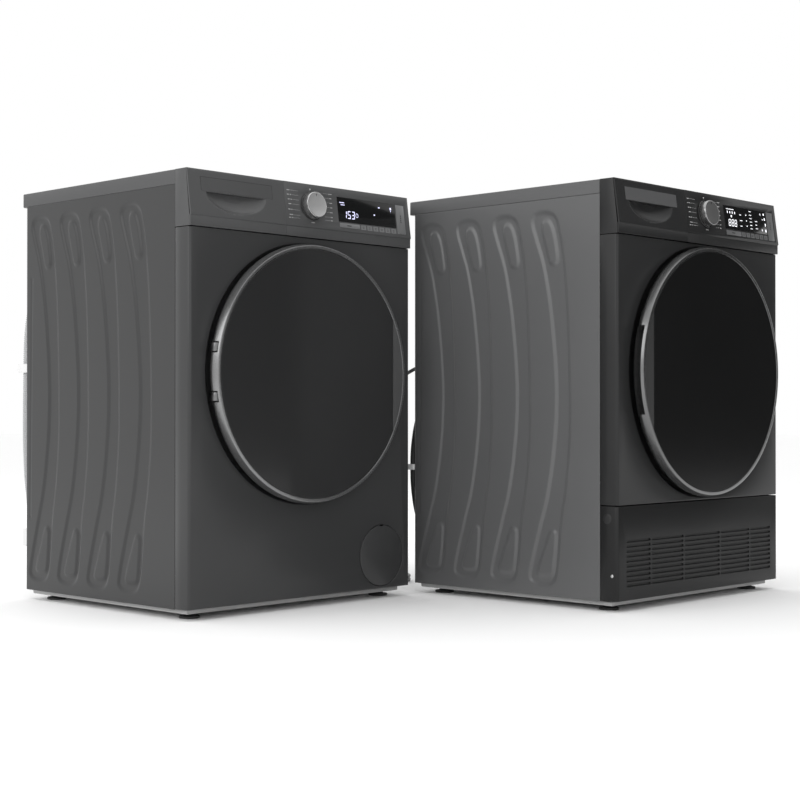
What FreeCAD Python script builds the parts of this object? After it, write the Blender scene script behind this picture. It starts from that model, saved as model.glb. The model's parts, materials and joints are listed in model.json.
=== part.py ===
import FreeCAD, Part
import math
import os
import Sketcher
from FreeCAD import Vector, Placement, Rotation

# Free-standing washing machine and tumble dryer of one family, side by side.
# Millimetres. X to the right, Y rearwards, Z up from the floor.
# Each machine has its own local frame: x = 0 at its middle, y = 0 at its front
# panel, z = 0 at the floor.

doc = FreeCAD.newDocument("LaundryPair")
sheet = doc.addObject("Spreadsheet::Sheet", "P")


class E(object):
    """A number together with the spreadsheet expression that gives it."""

    def __init__(self, v, s):
        self.v = float(v)
        self.s = s

    def __add__(self, o):
        o = lift(o)
        return E(self.v + o.v, "(%s + %s)" % (self.s, o.s))

    def __radd__(self, o):
        return lift(o) + self

    def __sub__(self, o):
        o = lift(o)
        return E(self.v - o.v, "(%s - %s)" % (self.s, o.s))

    def __rsub__(self, o):
        return lift(o) - self

    def __mul__(self, o):
        o = lift(o)
        return E(self.v * o.v, "(%s * %s)" % (self.s, o.s))

    def __rmul__(self, o):
        return lift(o) * self

    def __truediv__(self, o):
        o = lift(o)
        return E(self.v / o.v, "(%s / %s)" % (self.s, o.s))

    def __neg__(self):
        return E(-self.v, "(0 - %s)" % self.s)


def lift(o):
    if isinstance(o, E):
        return o
    return E(o, "(%r)" % float(o))


def num(o):
    return o.v if isinstance(o, E) else float(o)


def bind(obj, prop, v):
    if isinstance(v, E):
        obj.setExpression(prop, v.s)


CELLS = [0]


def cell(name, value, note):
    CELLS[0] += 1
    k = CELLS[0]
    sheet.set("A%d" % k, name)
    sheet.set("B%d" % k, "%.6g" % value)
    sheet.set("C%d" % k, note)
    sheet.setAlias("B%d" % k, name)
    return E(value, "P.%s" % name)


cab_w = cell("cab_w", 595, "width of each machine")
cab_d = cell("cab_d", 538, "front panel to rear wall")
cab_top = cell("cab_top", 845, "floor to worktop")
body_z = cell("body_z", 20, "floor to the lower edge of the sheet metal")
top_t = cell("top_t", 28, "worktop thickness")
wrap_y = cell("wrap_y", 42, "depth of the front panel's side returns")
wall = cell("wall", 4, "side wall over its pressed channels")
press = cell("press", 2.5, "depth of the pressed channels")
rear_over = cell("rear_over", 17, "worktop overhang at the rear")
gap_x = cell("gap_x", 56.5, "clear width between the machines")
stagger = cell("stagger", 500, "dryer stands this far in front")
frame_y = cell("frame_y", -23.357, "washer front panel in the common frame")
fas_low = cell("fas_low", 736.8, "lower edge of the control fascia")
seam_z = cell("seam_z", 735.6, "upper edge of the front panel")
crease_z = cell("crease_z", 757.8, "crease of the fascia")
crease_y = cell("crease_y", -5, "crease ahead of the front panel")
fas_top_y = cell("fas_top_y", 7, "upper front edge of the fascia")
slope_y = cell("slope_y", 12 / 88.0218, "fascia slope, rearward part")
slope_z = cell("slope_z", 87.2 / 88.0218, "fascia slope, upward part")
door_z = cell("door_z", 465, "height of the washer's door and drum axis")
door_zd = cell("door_zd", 472, "height of the dryer's door and drum axis")
dish_rad = cell("dish_rad", 260, "dish pressed in the front panel")
dish_deep = cell("dish_deep", 20, "dish depth")
ring_rad = cell("ring_rad", 257, "door ring at its widest")
ring_face_rad = cell("ring_face_rad", 253.5, "door ring at its front face")
ring_face_y = cell("ring_face_y", -30, "front of the door")
glass_rad = cell("glass_rad", 246, "door cover disc")
chord_x = cell("chord_x", 217.5, "straight edge of the cover disc")
mouth_rad = cell("mouth_rad", 160, "loading mouth")
hinge_x = cell("hinge_x", 246, "door hinge axis from the middle")
hinge_y = cell("hinge_y", -16, "door hinge axis from the front panel")
pin_rad = cell("pin_rad", 4, "hinge pin radius")
drum_rad = cell("drum_rad", 240, "outer radius of both drums")
drum_wall = cell("drum_wall", 1.5, "drum sheet")
split_x = cell("split_x", -57.4, "seam between drawer front and fascia")
knob_x = cell("knob_x", 13.5, "program knob from the middle")
knob_s = cell("knob_s", 42.4, "program knob up the slope")
knob_rad = cell("knob_rad", 27, "program knob radius")
knob_proud = cell("knob_proud", 18, "program knob height")
flap_x = cell("flap_x", 213.5, "filter flap from the middle")
flap_z = cell("flap_z", 90.6, "filter flap height")
flap_rad = cell("flap_rad", 63, "filter flap radius")
hose_dia = cell("hose_dia", 24, "washer drain hose")
cond_dia = cell("cond_dia", 13, "dryer condensate hose")
cord_dia = cell("cord_dia", 8, "dryer mains cord")
key_travel_gap = cell("key_travel_gap", 0.35, "play round each key")

doc.recompute()

HALF = cab_w / 2
WX = -(cab_w + gap_x) / 2
WY = frame_y
DX = (cab_w + gap_x) / 2
DY = frame_y - stagger
NODES = {}


def place(obj, X, Y, Z, rot=None):
    obj.Placement = Placement(Vector(num(X), num(Y), num(Z)), rot or Rotation())
    bind(obj, "Placement.Base.x", X)
    bind(obj, "Placement.Base.y", Y)
    bind(obj, "Placement.Base.z", Z)


def node(obj, name):
    obj.Label = name
    NODES[name] = obj
    return obj


def rect(a, b, c, d):
    return [(a, c), (b, c), (b, d), (a, d)]


def circle(x, y, r):
    return ("circle", x, y, r)


class PD(object):
    """A PartDesign body whose sketches are tied to the spreadsheet."""

    def __init__(self, name, X, Y, Z, rot=None):
        self.name = name
        self.b = doc.addObject("PartDesign::Body", name)
        if hasattr(self.b, "AllowCompound"):
            self.b.AllowCompound = True
        place(self.b, X, Y, Z, rot)
        node(self.b, name)
        self.k = 0

    def sketch(self, role, loops, off=0.0):
        self.k += 1
        sk = self.b.newObject("Sketcher::SketchObject", "%s_sk%d" % (self.name, self.k))
        pl = [f for f in self.b.Origin.OriginFeatures if f.Role == role + "_Plane"][0]
        sk.AttachmentSupport = [(pl, "")]
        sk.MapMode = "FlatFace"
        sk.AttachmentOffset = Placement(Vector(0, 0, num(off)), Rotation())
        bind(sk, "AttachmentOffset.Base.z", off)
        ties = []
        for lp in loops:
            g = sk.GeometryCount
            if isinstance(lp, tuple):
                _, x, y, r = lp
                sk.addGeometry(Part.Circle(Vector(num(x), num(y), 0), Vector(0, 0, 1), num(r)), False)
                ids = sk.addConstraint([
                    Sketcher.Constraint("DistanceX", -1, 1, g, 3, num(x)),
                    Sketcher.Constraint("DistanceY", -1, 1, g, 3, num(y)),
                    Sketcher.Constraint("Radius", g, num(r))])
                ties += list(zip(ids, (x, y, r)))
                continue
            n = len(lp)
            q = [Vector(num(a), num(b), 0) for a, b in lp]
            sk.addGeometry([Part.LineSegment(q[i], q[(i + 1) % n]) for i in range(n)], False)
            sk.addConstraint([Sketcher.Constraint("Coincident", g + i, 2, g + (i + 1) % n, 1)
                              for i in range(n)])
            cs = []
            vals = []
            for i in range(n):
                cs.append(Sketcher.Constraint("DistanceX", -1, 1, g + i, 1, q[i].x))
                cs.append(Sketcher.Constraint("DistanceY", -1, 1, g + i, 1, q[i].y))
                vals += [lp[i][0], lp[i][1]]
            ids = sk.addConstraint(cs)
            ties += list(zip(ids, vals))
        for i, v in ties:
            if isinstance(v, E):
                sk.setExpression("Constraints[%d]" % i, v.s)
        return sk

    def _add(self, kind, sk):
        self.k += 1
        f = self.b.newObject("PartDesign::" + kind, "%s_%s%d" % (self.name, kind.lower(), self.k))
        f.Profile = sk
        sk.Visibility = False
        return f

    def pad(self, role, loops, a, b):
        off = -lift(b) if role == "XZ" else a
        f = self._add("Pad", self.sketch(role, loops, off))
        f.Length = num(b) - num(a)
        bind(f, "Length", lift(b) - a)
        return f

    def pocket(self, role, loops, a, b):
        off = -lift(a) if role == "XZ" else b
        f = self._add("Pocket", self.sketch(role, loops, off))
        f.Length = num(b) - num(a)
        bind(f, "Length", lift(b) - a)
        return f

    def turn(self, role, loops, kind="Revolution", axis="V_Axis", angle=360.0):
        sk = self.sketch(role, loops)
        f = self._add(kind, sk)
        f.ReferenceAxis = (sk, [axis])
        f.Angle = angle
        if angle < 359.0:
            f.Midplane = True
        return f

    def fillet(self, pred, r):
        doc.recompute()
        base = self.b.Tip
        names = ["Edge%d" % (i + 1) for i, e in enumerate(base.Shape.Edges) if pred(e)]
        if not names:
            raise RuntimeError("no edge to round on " + self.name)
        self.k += 1
        f = self.b.newObject("PartDesign::Fillet", "%s_fillet%d" % (self.name, self.k))
        f.Base = (base, names)
        f.Radius = num(r)
        bind(f, "Radius", r)
        return f

    def polar(self, feats, n):
        self.k += 1
        f = self.b.newObject("PartDesign::PolarPattern", "%s_polar%d" % (self.name, self.k))
        f.Originals = feats
        f.Axis = (feats[-1].Profile[0], ["N_Axis"])
        f.Angle = 360
        f.Occurrences = n
        self.b.Tip = f
        return f


def upright(e, x, y):
    """True for a straight vertical edge of a body at local x, y."""
    v = e.Vertexes
    if len(v) != 2:
        return False
    return (abs(v[0].X - v[1].X) < 1e-4 and abs(v[0].Y - v[1].Y) < 1e-4
            and abs(abs(v[0].X) - x) < 1e-3 and abs(v[0].Y - y) < 1e-3)


def box(name, x0, x1, y0, y1, z0, z1):
    o = doc.addObject("Part::Box", name)
    o.Length, o.Width, o.Height = num(x1) - num(x0), num(y1) - num(y0), num(z1) - num(z0)
    bind(o, "Length", lift(x1) - x0)
    bind(o, "Width", lift(y1) - y0)
    bind(o, "Height", lift(z1) - z0)
    place(o, x0, y0, z0)
    return o


def cyl(name, x, y, z, axis, r, ln, r2=None):
    """Cylinder or cone from (x, y, z) along +X, +Y or +Z."""
    rot = {"X": Rotation(Vector(0, 1, 0), 90), "Y": Rotation(Vector(1, 0, 0), -90), "Z": Rotation()}[axis]
    if r2 is None:
        o = doc.addObject("Part::Cylinder", name)
        o.Radius, o.Height = num(r), num(ln)
        bind(o, "Radius", r)
    else:
        o = doc.addObject("Part::Cone", name)
        o.Radius1, o.Radius2, o.Height = num(r), num(r2), num(ln)
        bind(o, "Radius1", r)
        bind(o, "Radius2", r2)
    bind(o, "Height", ln)
    place(o, x, y, z, rot)
    return o


def fuse(name, parts):
    o = doc.addObject("Part::MultiFuse", name)
    o.Shapes = parts
    return o


def cut(name, a, b):
    o = doc.addObject("Part::Cut", name)
    o.Base, o.Tool = a, b
    return o


def slope(s, n):
    """Point (y, z) a distance s up the fascia slope and n proud of it."""
    return (crease_y + slope_y * s - slope_z * n, crease_z + slope_z * s + slope_y * n)


NORMAL_TILT = math.degrees(math.atan2(87.2, 12.0))

# outline of one pressed side channel: (y from its middle, z)
CHANNEL = [(15, 778), (11, 765), (0, 720), (-9, 646), (-15, 553), (-18.5, 430), (-18.5, 336),
           (-8, 234), (4, 178), (11, 95), (17, 58), (27, 44), (45, 39), (70, 41), (85, 48),
           (90, 60), (57, 172), (40, 225), (24, 320), (17.5, 411), (21, 490), (32, 590),
           (41, 640), (52, 690), (67, 730), (83, 775), (75, 788), (60, 793), (40, 793), (25, 788)]
ISLAND_TOP = [(57, 773), (30, 773), (14.5, 697), (18, 689), (25, 686), (32, 689), (34.5, 697)]
ISLAND_LOW = [(27.5, 151), (34, 147), (65.5, 66), (60, 61), (32, 61), (26, 68), (19.5, 141), (21, 148)]
channel_y = cell("channel_y", 132.5, "first pressed channel")
channel_pitch = cell("channel_pitch", 101.7, "pitch of the pressed channels")
doc.recompute()


def arc_pts(r, a0, a1, n):
    return [(r * math.cos(math.radians(a0 + (a1 - a0) * i / n)),
             r * math.sin(math.radians(a0 + (a1 - a0) * i / n))) for i in range(n + 1)]


def machine(p, X, Y, h, washer):
    """Shared build of both machines. h = +1: door hinge on the left."""
    dz = door_z if washer else door_zd
    # --- sheet metal wrapper: both sides and the rear wall -----------------
    c = PD(p + "_cabinet", X, Y, 0)
    y0 = wrap_y + 0.4
    c.pad("XY", [[(-HALF, y0), (-HALF, cab_d), (HALF, cab_d), (HALF, y0), (HALF - wall, y0),
                  (HALF - wall, cab_d - wall), (-HALF + wall, cab_d - wall), (-HALF + wall, y0)]],
          body_z, cab_top - top_t - 0.3)
    c.pocket("XZ", [rect(-190, 190, 150, 700)], cab_d - wall - 1, cab_d + 1)
    if washer:
        c.pocket("XZ", [circle(200, 770, 15)], cab_d - wall - 1, cab_d + 1)
    move = lambda L: [(channel_y + a, lift(b)) for a, b in L]
    ch = c.pocket("YZ", [move(CHANNEL), move(ISLAND_TOP), move(ISLAND_LOW)], HALF - press, HALF)
    mt = c.b.newObject("PartDesign::MultiTransform", p + "_channels")
    lp = c.b.newObject("PartDesign::LinearPattern", p + "_channel_row")
    lp.Direction = (ch.Profile[0], ["H_Axis"])
    lp.Length = 3 * channel_pitch.v
    bind(lp, "Length", channel_pitch * 3)
    lp.Occurrences = 4
    mi = c.b.newObject("PartDesign::Mirrored", p + "_channel_mirror")
    mi.MirrorPlane = ([f for f in c.b.Origin.OriginFeatures if f.Role == "YZ_Plane"][0], [""])
    mt.Originals = [ch]
    mt.Transformations = [lp, mi]
    c.b.Tip = mt
    c.fillet(lambda e: upright(e, HALF.v, cab_d.v), 3.5)

    # --- worktop --------------------------------------------------------------
    t = PD(p + "_top_cover", X, Y, 0)
    t.pad("XY", [rect(-HALF, HALF, wrap_y + 0.4, cab_d + rear_over)], cab_top - top_t, cab_top)
    t.fillet(lambda e: upright(e, HALF.v, cab_d.v + rear_over.v), 8)

    # --- front panel with its dish and loading mouth ----------------------
    f = PD(p + "_front_panel", X, Y, dz)
    low = body_z + 2 if washer else lift(208)
    f.pad("XY", [[(-HALF, wrap_y), (-HALF, 0.0), (HALF, 0.0), (HALF, wrap_y), (HALF - 2, wrap_y),
                  (HALF - 2, 2.0), (-HALF + 2, 2.0), (-HALF + 2, wrap_y)]], low - dz, seam_z - dz)
    f.fillet(lambda e: upright(e, HALF.v - 2, 2), 4)
    f.fillet(lambda e: upright(e, HALF.v, 0), 6)
    f.pocket("XZ", [circle(0, 0, dish_rad)], -1, 3)
    lip = lift(34 if washer else 58)
    R = dish_rad
    m = mouth_rad
    g = dish_deep
    f.turn("XY", [[(R + 1.5, 0.0), (R - 1, 0.8), (R - 8.5, g / 2), (R - 19.5, g - 1), (R - 27.5, g),
                   (m + 9, g), (m + 2, g + 4), (m, lip), (m + 2, lip), (m + 4, g + 5.2), (m + 10, g + 2),
                   (R - 27.5, g + 2), (R - 18, g + 1), (R - 6.8, g / 2 + 1.6), (R + 1, 2.0),
                   (R + 1.5, 2.0)]])
    if washer:
        f.pocket("XZ", [circle(flap_x, flap_z - dz, flap_rad + 1)], -1, 3)

    # --- control fascia -----------------------------------------------------
    a = PD(p + "_control_fascia", X, Y, 0)
    zt = cab_top
    prof = [(fas_top_y, zt), (crease_y, crease_z), (crease_y + 2, crease_z - 2.2), (crease_y + 2, fas_low),
            (crease_y + 5, fas_low), (crease_y + 5, crease_z - 1.2), (fas_top_y + 2.6, zt - 3),
            (wrap_y, zt - 3), (wrap_y, zt)]
    cheek = [(fas_top_y, zt), (crease_y, crease_z), (crease_y + 2, crease_z - 2.2), (crease_y + 2, fas_low),
             (wrap_y, fas_low), (wrap_y, zt)]
    inner = [(fas_top_y + 3.7, zt), (crease_y + 5.7, crease_z), (crease_y + 5.7, fas_low),
             (wrap_y, fas_low), (wrap_y, zt)]
    a.pad("YZ", [prof], split_x, HALF)
    a.pad("YZ", [cheek], HALF - 3, HALF)
    a.pad("YZ", [cheek], split_x, split_x + 3)
    a.pad("YZ", [rect(fas_top_y + 3.6, wrap_y, zt - 3, zt)], -HALF, split_x + 1)
    a.pad("YZ", [inner], -HALF, -HALF + 3)
    a.pocket("YZ", [[slope(18.5, 3), slope(70.2, 3), slope(70.2, -7), slope(18.5, -7)]], 86.5, 255.5)
    k = key_travel_gap
    a.pocket("YZ", [[slope(6.5 - k, 3), slope(16 + k, 3), slope(16 + k, -7), slope(6.5 - k, -7)]],
             88.5 - k, 145.5 + k)
    a.pocket("YZ", [[slope(6.5 - k, 3), slope(69 + k, 3), slope(69 + k, -7), slope(6.5 - k, -7)]],
             258.5 - k, 282.5 + k)
    ky, kz = slope(knob_s, 0)
    # hole for the knob's shaft, square to the slope
    a.pocket("XZ", [circle(knob_x, kz, 5.2)], ky - 4, ky + 9)

    d = PD(p + "_display_window", X, Y, 0)
    d.pad("YZ", [[slope(18.8, 0.4), slope(69.9, 0.4), slope(69.9, -2.4), slope(18.8, -2.4)]], 86.8, 255.2)
    d = PD(p + "_power_key", X, Y, 0)
    d.pad("YZ", [[slope(6.5, 0.9), slope(16, 0.9), slope(16, -3.6), slope(6.5, -3.6)]], 88.5, 145.5)
    d = PD(p + "_start_key", X, Y, 0)
    d.pad("YZ", [[slope(6.5, 0.9), slope(69, 0.9), slope(69, -3.6), slope(6.5, -3.6)]], 258.5, 282.5)

    kn = PD(p + "_program_knob", X + knob_x, Y + ky, kz, Rotation(Vector(1, 0, 0), NORMAL_TILT))
    kr = knob_rad
    kp = knob_proud
    kn.turn("XZ", [[(0.0, -14.0), (4.0, -14.0), (4.0, 0.7), (kr + 1.5, 0.7), (kr + 1.5, 3.2), (kr, 3.6),
                    (kr - 0.6, kp - 1.5), (kr - 2, kp), (0.0, kp)]])

    # --- drawer front with its finger scoop ------------------------------
    w = PD(p + ("_drawer_front" if washer else "_tank_front"), X, Y, 0)
    w.pad("YZ", [[(fas_top_y, zt), (crease_y, crease_z), (crease_y + 2, crease_z - 2.2), (crease_y + 2, fas_low),
                  (crease_y + 5, fas_low), (crease_y + 5, crease_z - 0.9), (fas_top_y + 3.1, zt)]],
          -HALF, split_x - 0.4)
    w.pad("XZ", [rect(-262, -103, crease_z + 3, crease_z + 50)], 1, 17)
    sc = [(-258, 45.5)] + [(-182.75 - 74 * math.cos(math.radians(q)), 45.5 - 37 * math.sin(math.radians(q)))
                           for q in (12, 28, 45, 63, 80, 100, 117, 135, 152, 168)] + [(-107.5, 45.5)]
    w.pocket("XZ", [[(lift(u), crease_z + v * 0.99) for u, v in sc]], -14, 14)

    # --- door -------------------------------------------------------------------
    q = PD(p + "_door_ring", X, Y, dz)
    G = glass_rad
    fy = ring_face_y
    q.turn("XY", [[(G + 0.4, fy), (ring_face_rad, fy), (ring_rad, fy + 14.5), (ring_rad - 3, fy + 22),
                   (ring_rad - 18, 5.0), (188.0, 5.0), (188.0, 1.0), (G - 12.4, 1.0), (G - 5.4, -8.0),
                   (G - 5.4, fy + 4.7), (G + 0.4, fy + 4.7)]])
    seg = [(chord_x + 0.4, 116.0)] + [(lift(u), v) for u, v in arc_pts(250.5, 26, -26, 8)] + [(chord_x + 0.4, -116.0)]
    seg = [(u * h, v) for u, v in seg]
    q.pad("XZ", [seg], fy, fy + 5)
    q.turn("XY", [[(225.0 * h, fy + 4.8), (243.5 * h, fy + 4.8), (243.5 * h, 1.0), (225.0 * h, 1.0)]], angle=46)
    q.turn("XY", [[(232.0 * h, fy + 6), (268.0 * h, fy + 6), (268.0 * h, -9.0), (232.0 * h, -9.0)]],
           kind="Groove", angle=40)
    for z0 in (36.0, -57.0):
        q.pocket("XY", [rect(*(sorted((-266.0 * h, -222.0 * h)) + [-26.5, 8.0]))], z0, z0 + 21)
    q.pad("XY", [circle(-hinge_x * h, hinge_y, pin_rad)], -60, 60)

    g1 = PD(p + "_door_cover_glass", X, Y, dz)
    g1.pad("XZ", [circle(0, 0, G)], fy, fy + 4.4)
    g1.pocket("XZ", [[(chord_x * h, -G - 5), (chord_x * h, G + 5), ((G + 10) * h, G + 5),
                      ((G + 10) * h, -G - 5)]], fy - 1, fy + 6)

    b1 = PD(p + ("_door_bowl" if washer else "_door_inner"), X, Y, dz)
    if washer:
        b1.turn("XY", [[(200.0, 5.3), (200.0, 9.0), (158.0, 9.0), (151.0, 20.0), (141.0, 84.0), (124.0, 103.0),
                        (70.0, 110.0), (0.0, 111.0), (0.0, 107.0), (70.0, 106.0), (121.5, 99.5), (137.0, 82.0),
                        (147.0, 19.0), (155.0, 5.3)]])
    else:
        b1.turn("XY", [[(200.0, 5.3), (200.0, 9.0), (156.0, 9.0), (150.0, 16.0), (146.0, 40.0), (138.0, 46.0),
                        (0.0, 46.0), (0.0, 43.0), (136.0, 43.0), (143.0, 38.5), (147.0, 14.0), (153.0, 5.3)]])

    hg = PD(p + "_door_hinge", X, Y, dz)
    plate = sorted((-228.0 * h, -196.0 * h))
    hg.pad("XY", [rect(plate[0], plate[1], 16.4, 18.8)], -62, 62)
    ux, uy = -hinge_x * h, hinge_y
    for z0 in (38.5, -54.5):
        hg.pad("XY", [[(ux - 5.5 * h, uy + 2), (ux + 5.5 * h, uy - 3), (-224.0 * h, 15.0), (-222.0 * h, 17.6),
                       (-235.0 * h, 17.6)]], z0, z0 + 16)
        hg.pad("XY", [circle(ux, uy, 8)], z0, z0 + 16)
    hg.pocket("XY", [circle(ux, uy, pin_rad + 0.05)], -80, 80)
    doc.recompute()


machine("washer", WX, WY, 1.0, True)
machine("dryer", DX, DY, -1.0, False)

# --- rear service panels, base trays and levelling feet ------------------------
rp = []
bt = []
ft = []
for tag, X, Y in (("w", WX, WY), ("d", DX, DY)):
    plate = box("rear_plate_" + tag, X - 205, X + 205, Y + cab_d + 0.3, Y + cab_d + 1.9, 135, 715)
    boss = box("rear_boss_" + tag, X - 180, X + 180, Y + cab_d + 1.5, Y + cab_d + 4.3, 165, 685)
    rp += [plate, boss]
    bt += [box("tray_" + tag, X - HALF + 12, X + HALF - 12, Y + 22, Y + cab_d - 8, 10.8, body_z - 0.3)]
    for i, sx in enumerate((-1, 1)):
        for j, yy in enumerate((52, 488)):
            n = "%s%d%d" % (tag, i, j)
            ft += [fuse("foot_" + n, [cyl("foot_pad_" + n, X + sx * 255, Y + yy, 0, "Z", 20, 5),
                                      cyl("foot_neck_" + n, X + sx * 255, Y + yy, 4, "Z", 12, 6.5, 9)])]
node(fuse("rear_panels_f", rp), "rear_panels")
node(fuse("base_trays_f", bt), "base_trays")
node(fuse("levelling_feet_f", ft), "levelling_feet")

# --- washer: detergent drawer -----------------------------------------------
w = PD("washer_drawer_tray", WX, WY, 0)
w.pad("XY", [rect(-286, -72, 17.3, 410)], 744, 800)
w.pocket("XY", [rect(-282, -190, 21.5, 290), rect(-282, -190, 294, 406), rect(-186, -76, 21.5, 200),
                rect(-186, -76, 204, 406)], 748, 801)

# --- dryer: condensate tank ----------------------------------------------------
w = PD("dryer_tank", DX, DY, 0)
w.pad("XY", [rect(-286, -72, 17.3, 430)], 744, 812)
w.pocket("XZ", [rect(-282, -76, 748, 808)], 21.5, 431)

# --- washer: tub group ---------------------------------------------------------
w = PD("washer_door_gasket", WX, WY, door_z)
w.turn("XY", [[(164.5, 35.0), (172.0, 35.0), (183.0, 44.0), (183.0, 61.0), (177.0, 67.0), (177.0, 78.0),
               (172.0, 78.0), (172.0, 64.0), (178.0, 58.5), (178.0, 46.5), (170.0, 39.5), (164.5, 39.5)]])
w = PD("washer_tub", WX, WY, door_z)
w.turn("XY", [[(172.0, 80.0), (252.0, 80.0), (252.0, 458.0), (17.0, 458.0), (17.0, 452.0), (248.0, 452.0),
               (248.0, 84.0), (172.0, 84.0)]])
r = drum_rad
s = drum_wall
w = PD("washer_drum", WX, WY, door_z)
w.turn("XY", [[(lift(168), 92.0), (r, 92.0), (r, 440.0), (lift(15), 440.0), (lift(15), 486.0), (lift(0), 486.0),
               (lift(0), 440 - s), (r - s, 440 - s), (r - s, 92 + s), (lift(168), 92 + s)]])
w = PD("washer_drum_lifters", WX, WY, door_z)
pf = w.pad("XZ", [[(-22.0, -r + 3.4), (22.0, -r + 3.4), (9.0, -r + 42), (-9.0, -r + 42)]], 120, 400)
w.polar([pf], 3)
w = PD("washer_drum_pulley", WX, WY, door_z)
w.turn("XY", [[(0.0, 487.0), (22.0, 487.0), (22.0, 492.0), (128.0, 492.0), (128.0, 487.0), (138.0, 487.0),
               (138.0, 503.0), (128.0, 503.0), (128.0, 497.0), (22.0, 497.0), (22.0, 503.0), (0.0, 503.0)]])
MX, MZ = 70.0, 112.0
w = PD("washer_motor_pulley", WX + MX, WY, MZ)
w.turn("XY", [[(0.0, 478.6), (7.0, 478.6), (7.0, 486.0), (12.0, 486.0), (12.0, 504.0), (0.0, 504.0)]])
node(fuse("washer_motor_f", [
    cyl("wm_can", WX + MX, WY + 352, MZ, "Y", 56, 110),
    cyl("wm_front", WX + MX, WY + 340, MZ, "Y", 46, 13),
    cyl("wm_back", WX + MX, WY + 461, MZ, "Y", 46, 16),
    box("wm_lug", WX + MX - 64, WX + MX + 64, WY + 366, WY + 384, MZ + 40, MZ + 58),
]), "washer_motor")
w = PD("washer_counterweight", WX, WY, door_z)
w.pad("XZ", [arc_pts(250, 25, 155, 14) + arc_pts(196, 155, 25, 14)], 42, 78.5)
sp = []
for sx in (-1, 1):
    t = "a" if sx < 0 else "b"
    sp.append(fuse("spring_" + t, [cyl("spring_coil_" + t, WX + sx * 266, WY + 446, 640, "Z", 13, 150),
                                   cyl("spring_hook_" + t, WX + sx * 266, WY + 446, 600, "Z", 4, 212)]))
    sp.append(fuse("damper_" + t, [cyl("damper_tube_" + t, WX + sx * 215, WY + 262, 24, "Z", 15, 130),
                                   cyl("damper_rod_" + t, WX + sx * 215, WY + 262, 150, "Z", 6, 90)]))
node(fuse("washer_suspension_f", sp), "washer_suspension")
node(fuse("washer_drain_pump_f", [
    cyl("dp_cup", WX + flap_x, WY + 30, flap_z, "Y", 46, 90),
    cyl("dp_cap", WX + flap_x, WY + 16, flap_z, "Y", 30, 15),
    box("dp_grip", WX + flap_x - 5, WX + flap_x + 5, WY + 8, WY + 17, flap_z - 24, flap_z + 24),
    cyl("dp_motor", WX + flap_x, WY + 119, flap_z, "Y", 32, 60),
]), "washer_drain_pump")
w = PD("washer_filter_flap", WX, WY, flap_z)
w.pad("XZ", [circle(flap_x, 0, flap_rad)], 0, 2)
w.pocket("XZ", [rect(flap_x - 5, flap_x + 5, flap_rad - 2.2, flap_rad + 3)], -1, 3)
node(cut("washer_inlet_valve_f", fuse("iv_f", [
    box("iv_body", WX + 180, WX + 220, WY + 478, WY + 533.4, 750, 790),
    cyl("iv_spigot", WX + 200, WY + 533, 770, "Y", 13.2, 24)]),
    cyl("iv_bore", WX + 200, WY + 535, 770, "Y", 8, 30)), "washer_inlet_valve")

# --- dryer: drum group -------------------------------------------------------------
w = PD("dryer_drum", DX, DY, door_zd)
w.turn("XY", [[(lift(170), 62.0), (r, 62.0), (r, 478.0), (lift(0), 478.0), (lift(0), 478 - s), (r - s, 478 - s),
               (r - s, 62 + s), (lift(170), 62 + s)]])
pf = w.pad("XZ", [[(-20.0, -r + 2.4), (20.0, -r + 2.4), (7.0, -r + 44), (-7.0, -r + 44)]], 80, 470)
w.polar([pf], 3)
RO = 28.0
roll_x = 154.0
roll_dz = math.sqrt((240.4 + RO) ** 2 - roll_x ** 2)
for nm, sx in (("dryer_roller_left", -1), ("dryer_roller_right", 1)):
    w = PD(nm, DX + sx * roll_x, DY, door_zd - roll_dz)
    w.turn("XY", [[(0.0, 84.0), (6.0, 84.0), (6.0, 92.0), (RO, 92.0), (RO, 108.0), (6.0, 108.0), (6.0, 432.0),
                   (RO, 432.0), (RO, 448.0), (6.0, 448.0), (6.0, 458.0), (0.0, 458.0)]])
node(fuse("dryer_motor_blower_f", [
    cyl("dm_can", DX + 30, DY + 190, 104, "Y", 55, 150),
    cyl("dm_fan", DX + 30, DY + 356, 112, "Y", 84, 62),
    cyl("dm_shaft", DX + 30, DY + 339, 104, "Y", 9, 20),
]), "dryer_motor_blower")
node(fuse("dryer_heat_pump_f", [
    box("hp_box", DX - 272, DX - 30, DY + 60, DY + 330, 28, 186),
    cyl("hp_comp", DX - 150, DY + 405, 30, "Z", 62, 160),
]), "dryer_heat_pump")
w = PD("dryer_lint_filter", DX, DY, door_zd)
w.pad("XZ", [rect(-105, 105, -224, -170)], 38, 56)
w.pocket("XZ", [rect(-97, -52, -216, -178), rect(-46, -3, -216, -178), rect(3, 46, -216, -178),
                rect(52, 97, -216, -178)], 48, 57)

# --- dryer plinth with its air grille -----------------------------------------
w = PD("dryer_plinth_panel", DX, DY, 0)
w.pad("XY", [[(-HALF, wrap_y), (-HALF, 0.0), (HALF, 0.0), (HALF, wrap_y), (HALF - 2, wrap_y),
              (HALF - 2, 2.0), (-HALF + 2, 2.0), (-HALF + 2, wrap_y)]], body_z + 2, 206)
w.fillet(lambda e: upright(e, HALF.v - 2, 2), 4)
w.fillet(lambda e: upright(e, HALF.v, 0), 6)
cols = [(-267.5, -187.0), (-181.5, -70.5), (-65.0, 65.0), (70.5, 181.5), (187.0, 267.5)]
slots = [rect(x0, x1, 48.0, 53.4) for x0, x1 in cols]
sl = w.pocket("XZ", slots, -1, 3)
lp = w.b.newObject("PartDesign::LinearPattern", "dryer_grille_rows")
lp.Direction = (sl.Profile[0], ["V_Axis"])
lp.Length = 86.4
lp.Occurrences = 10
lp.Originals = [sl]
w.b.Tip = lp
doc.recompute()

# --- belts ------------------------------------------------------------------------


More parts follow.
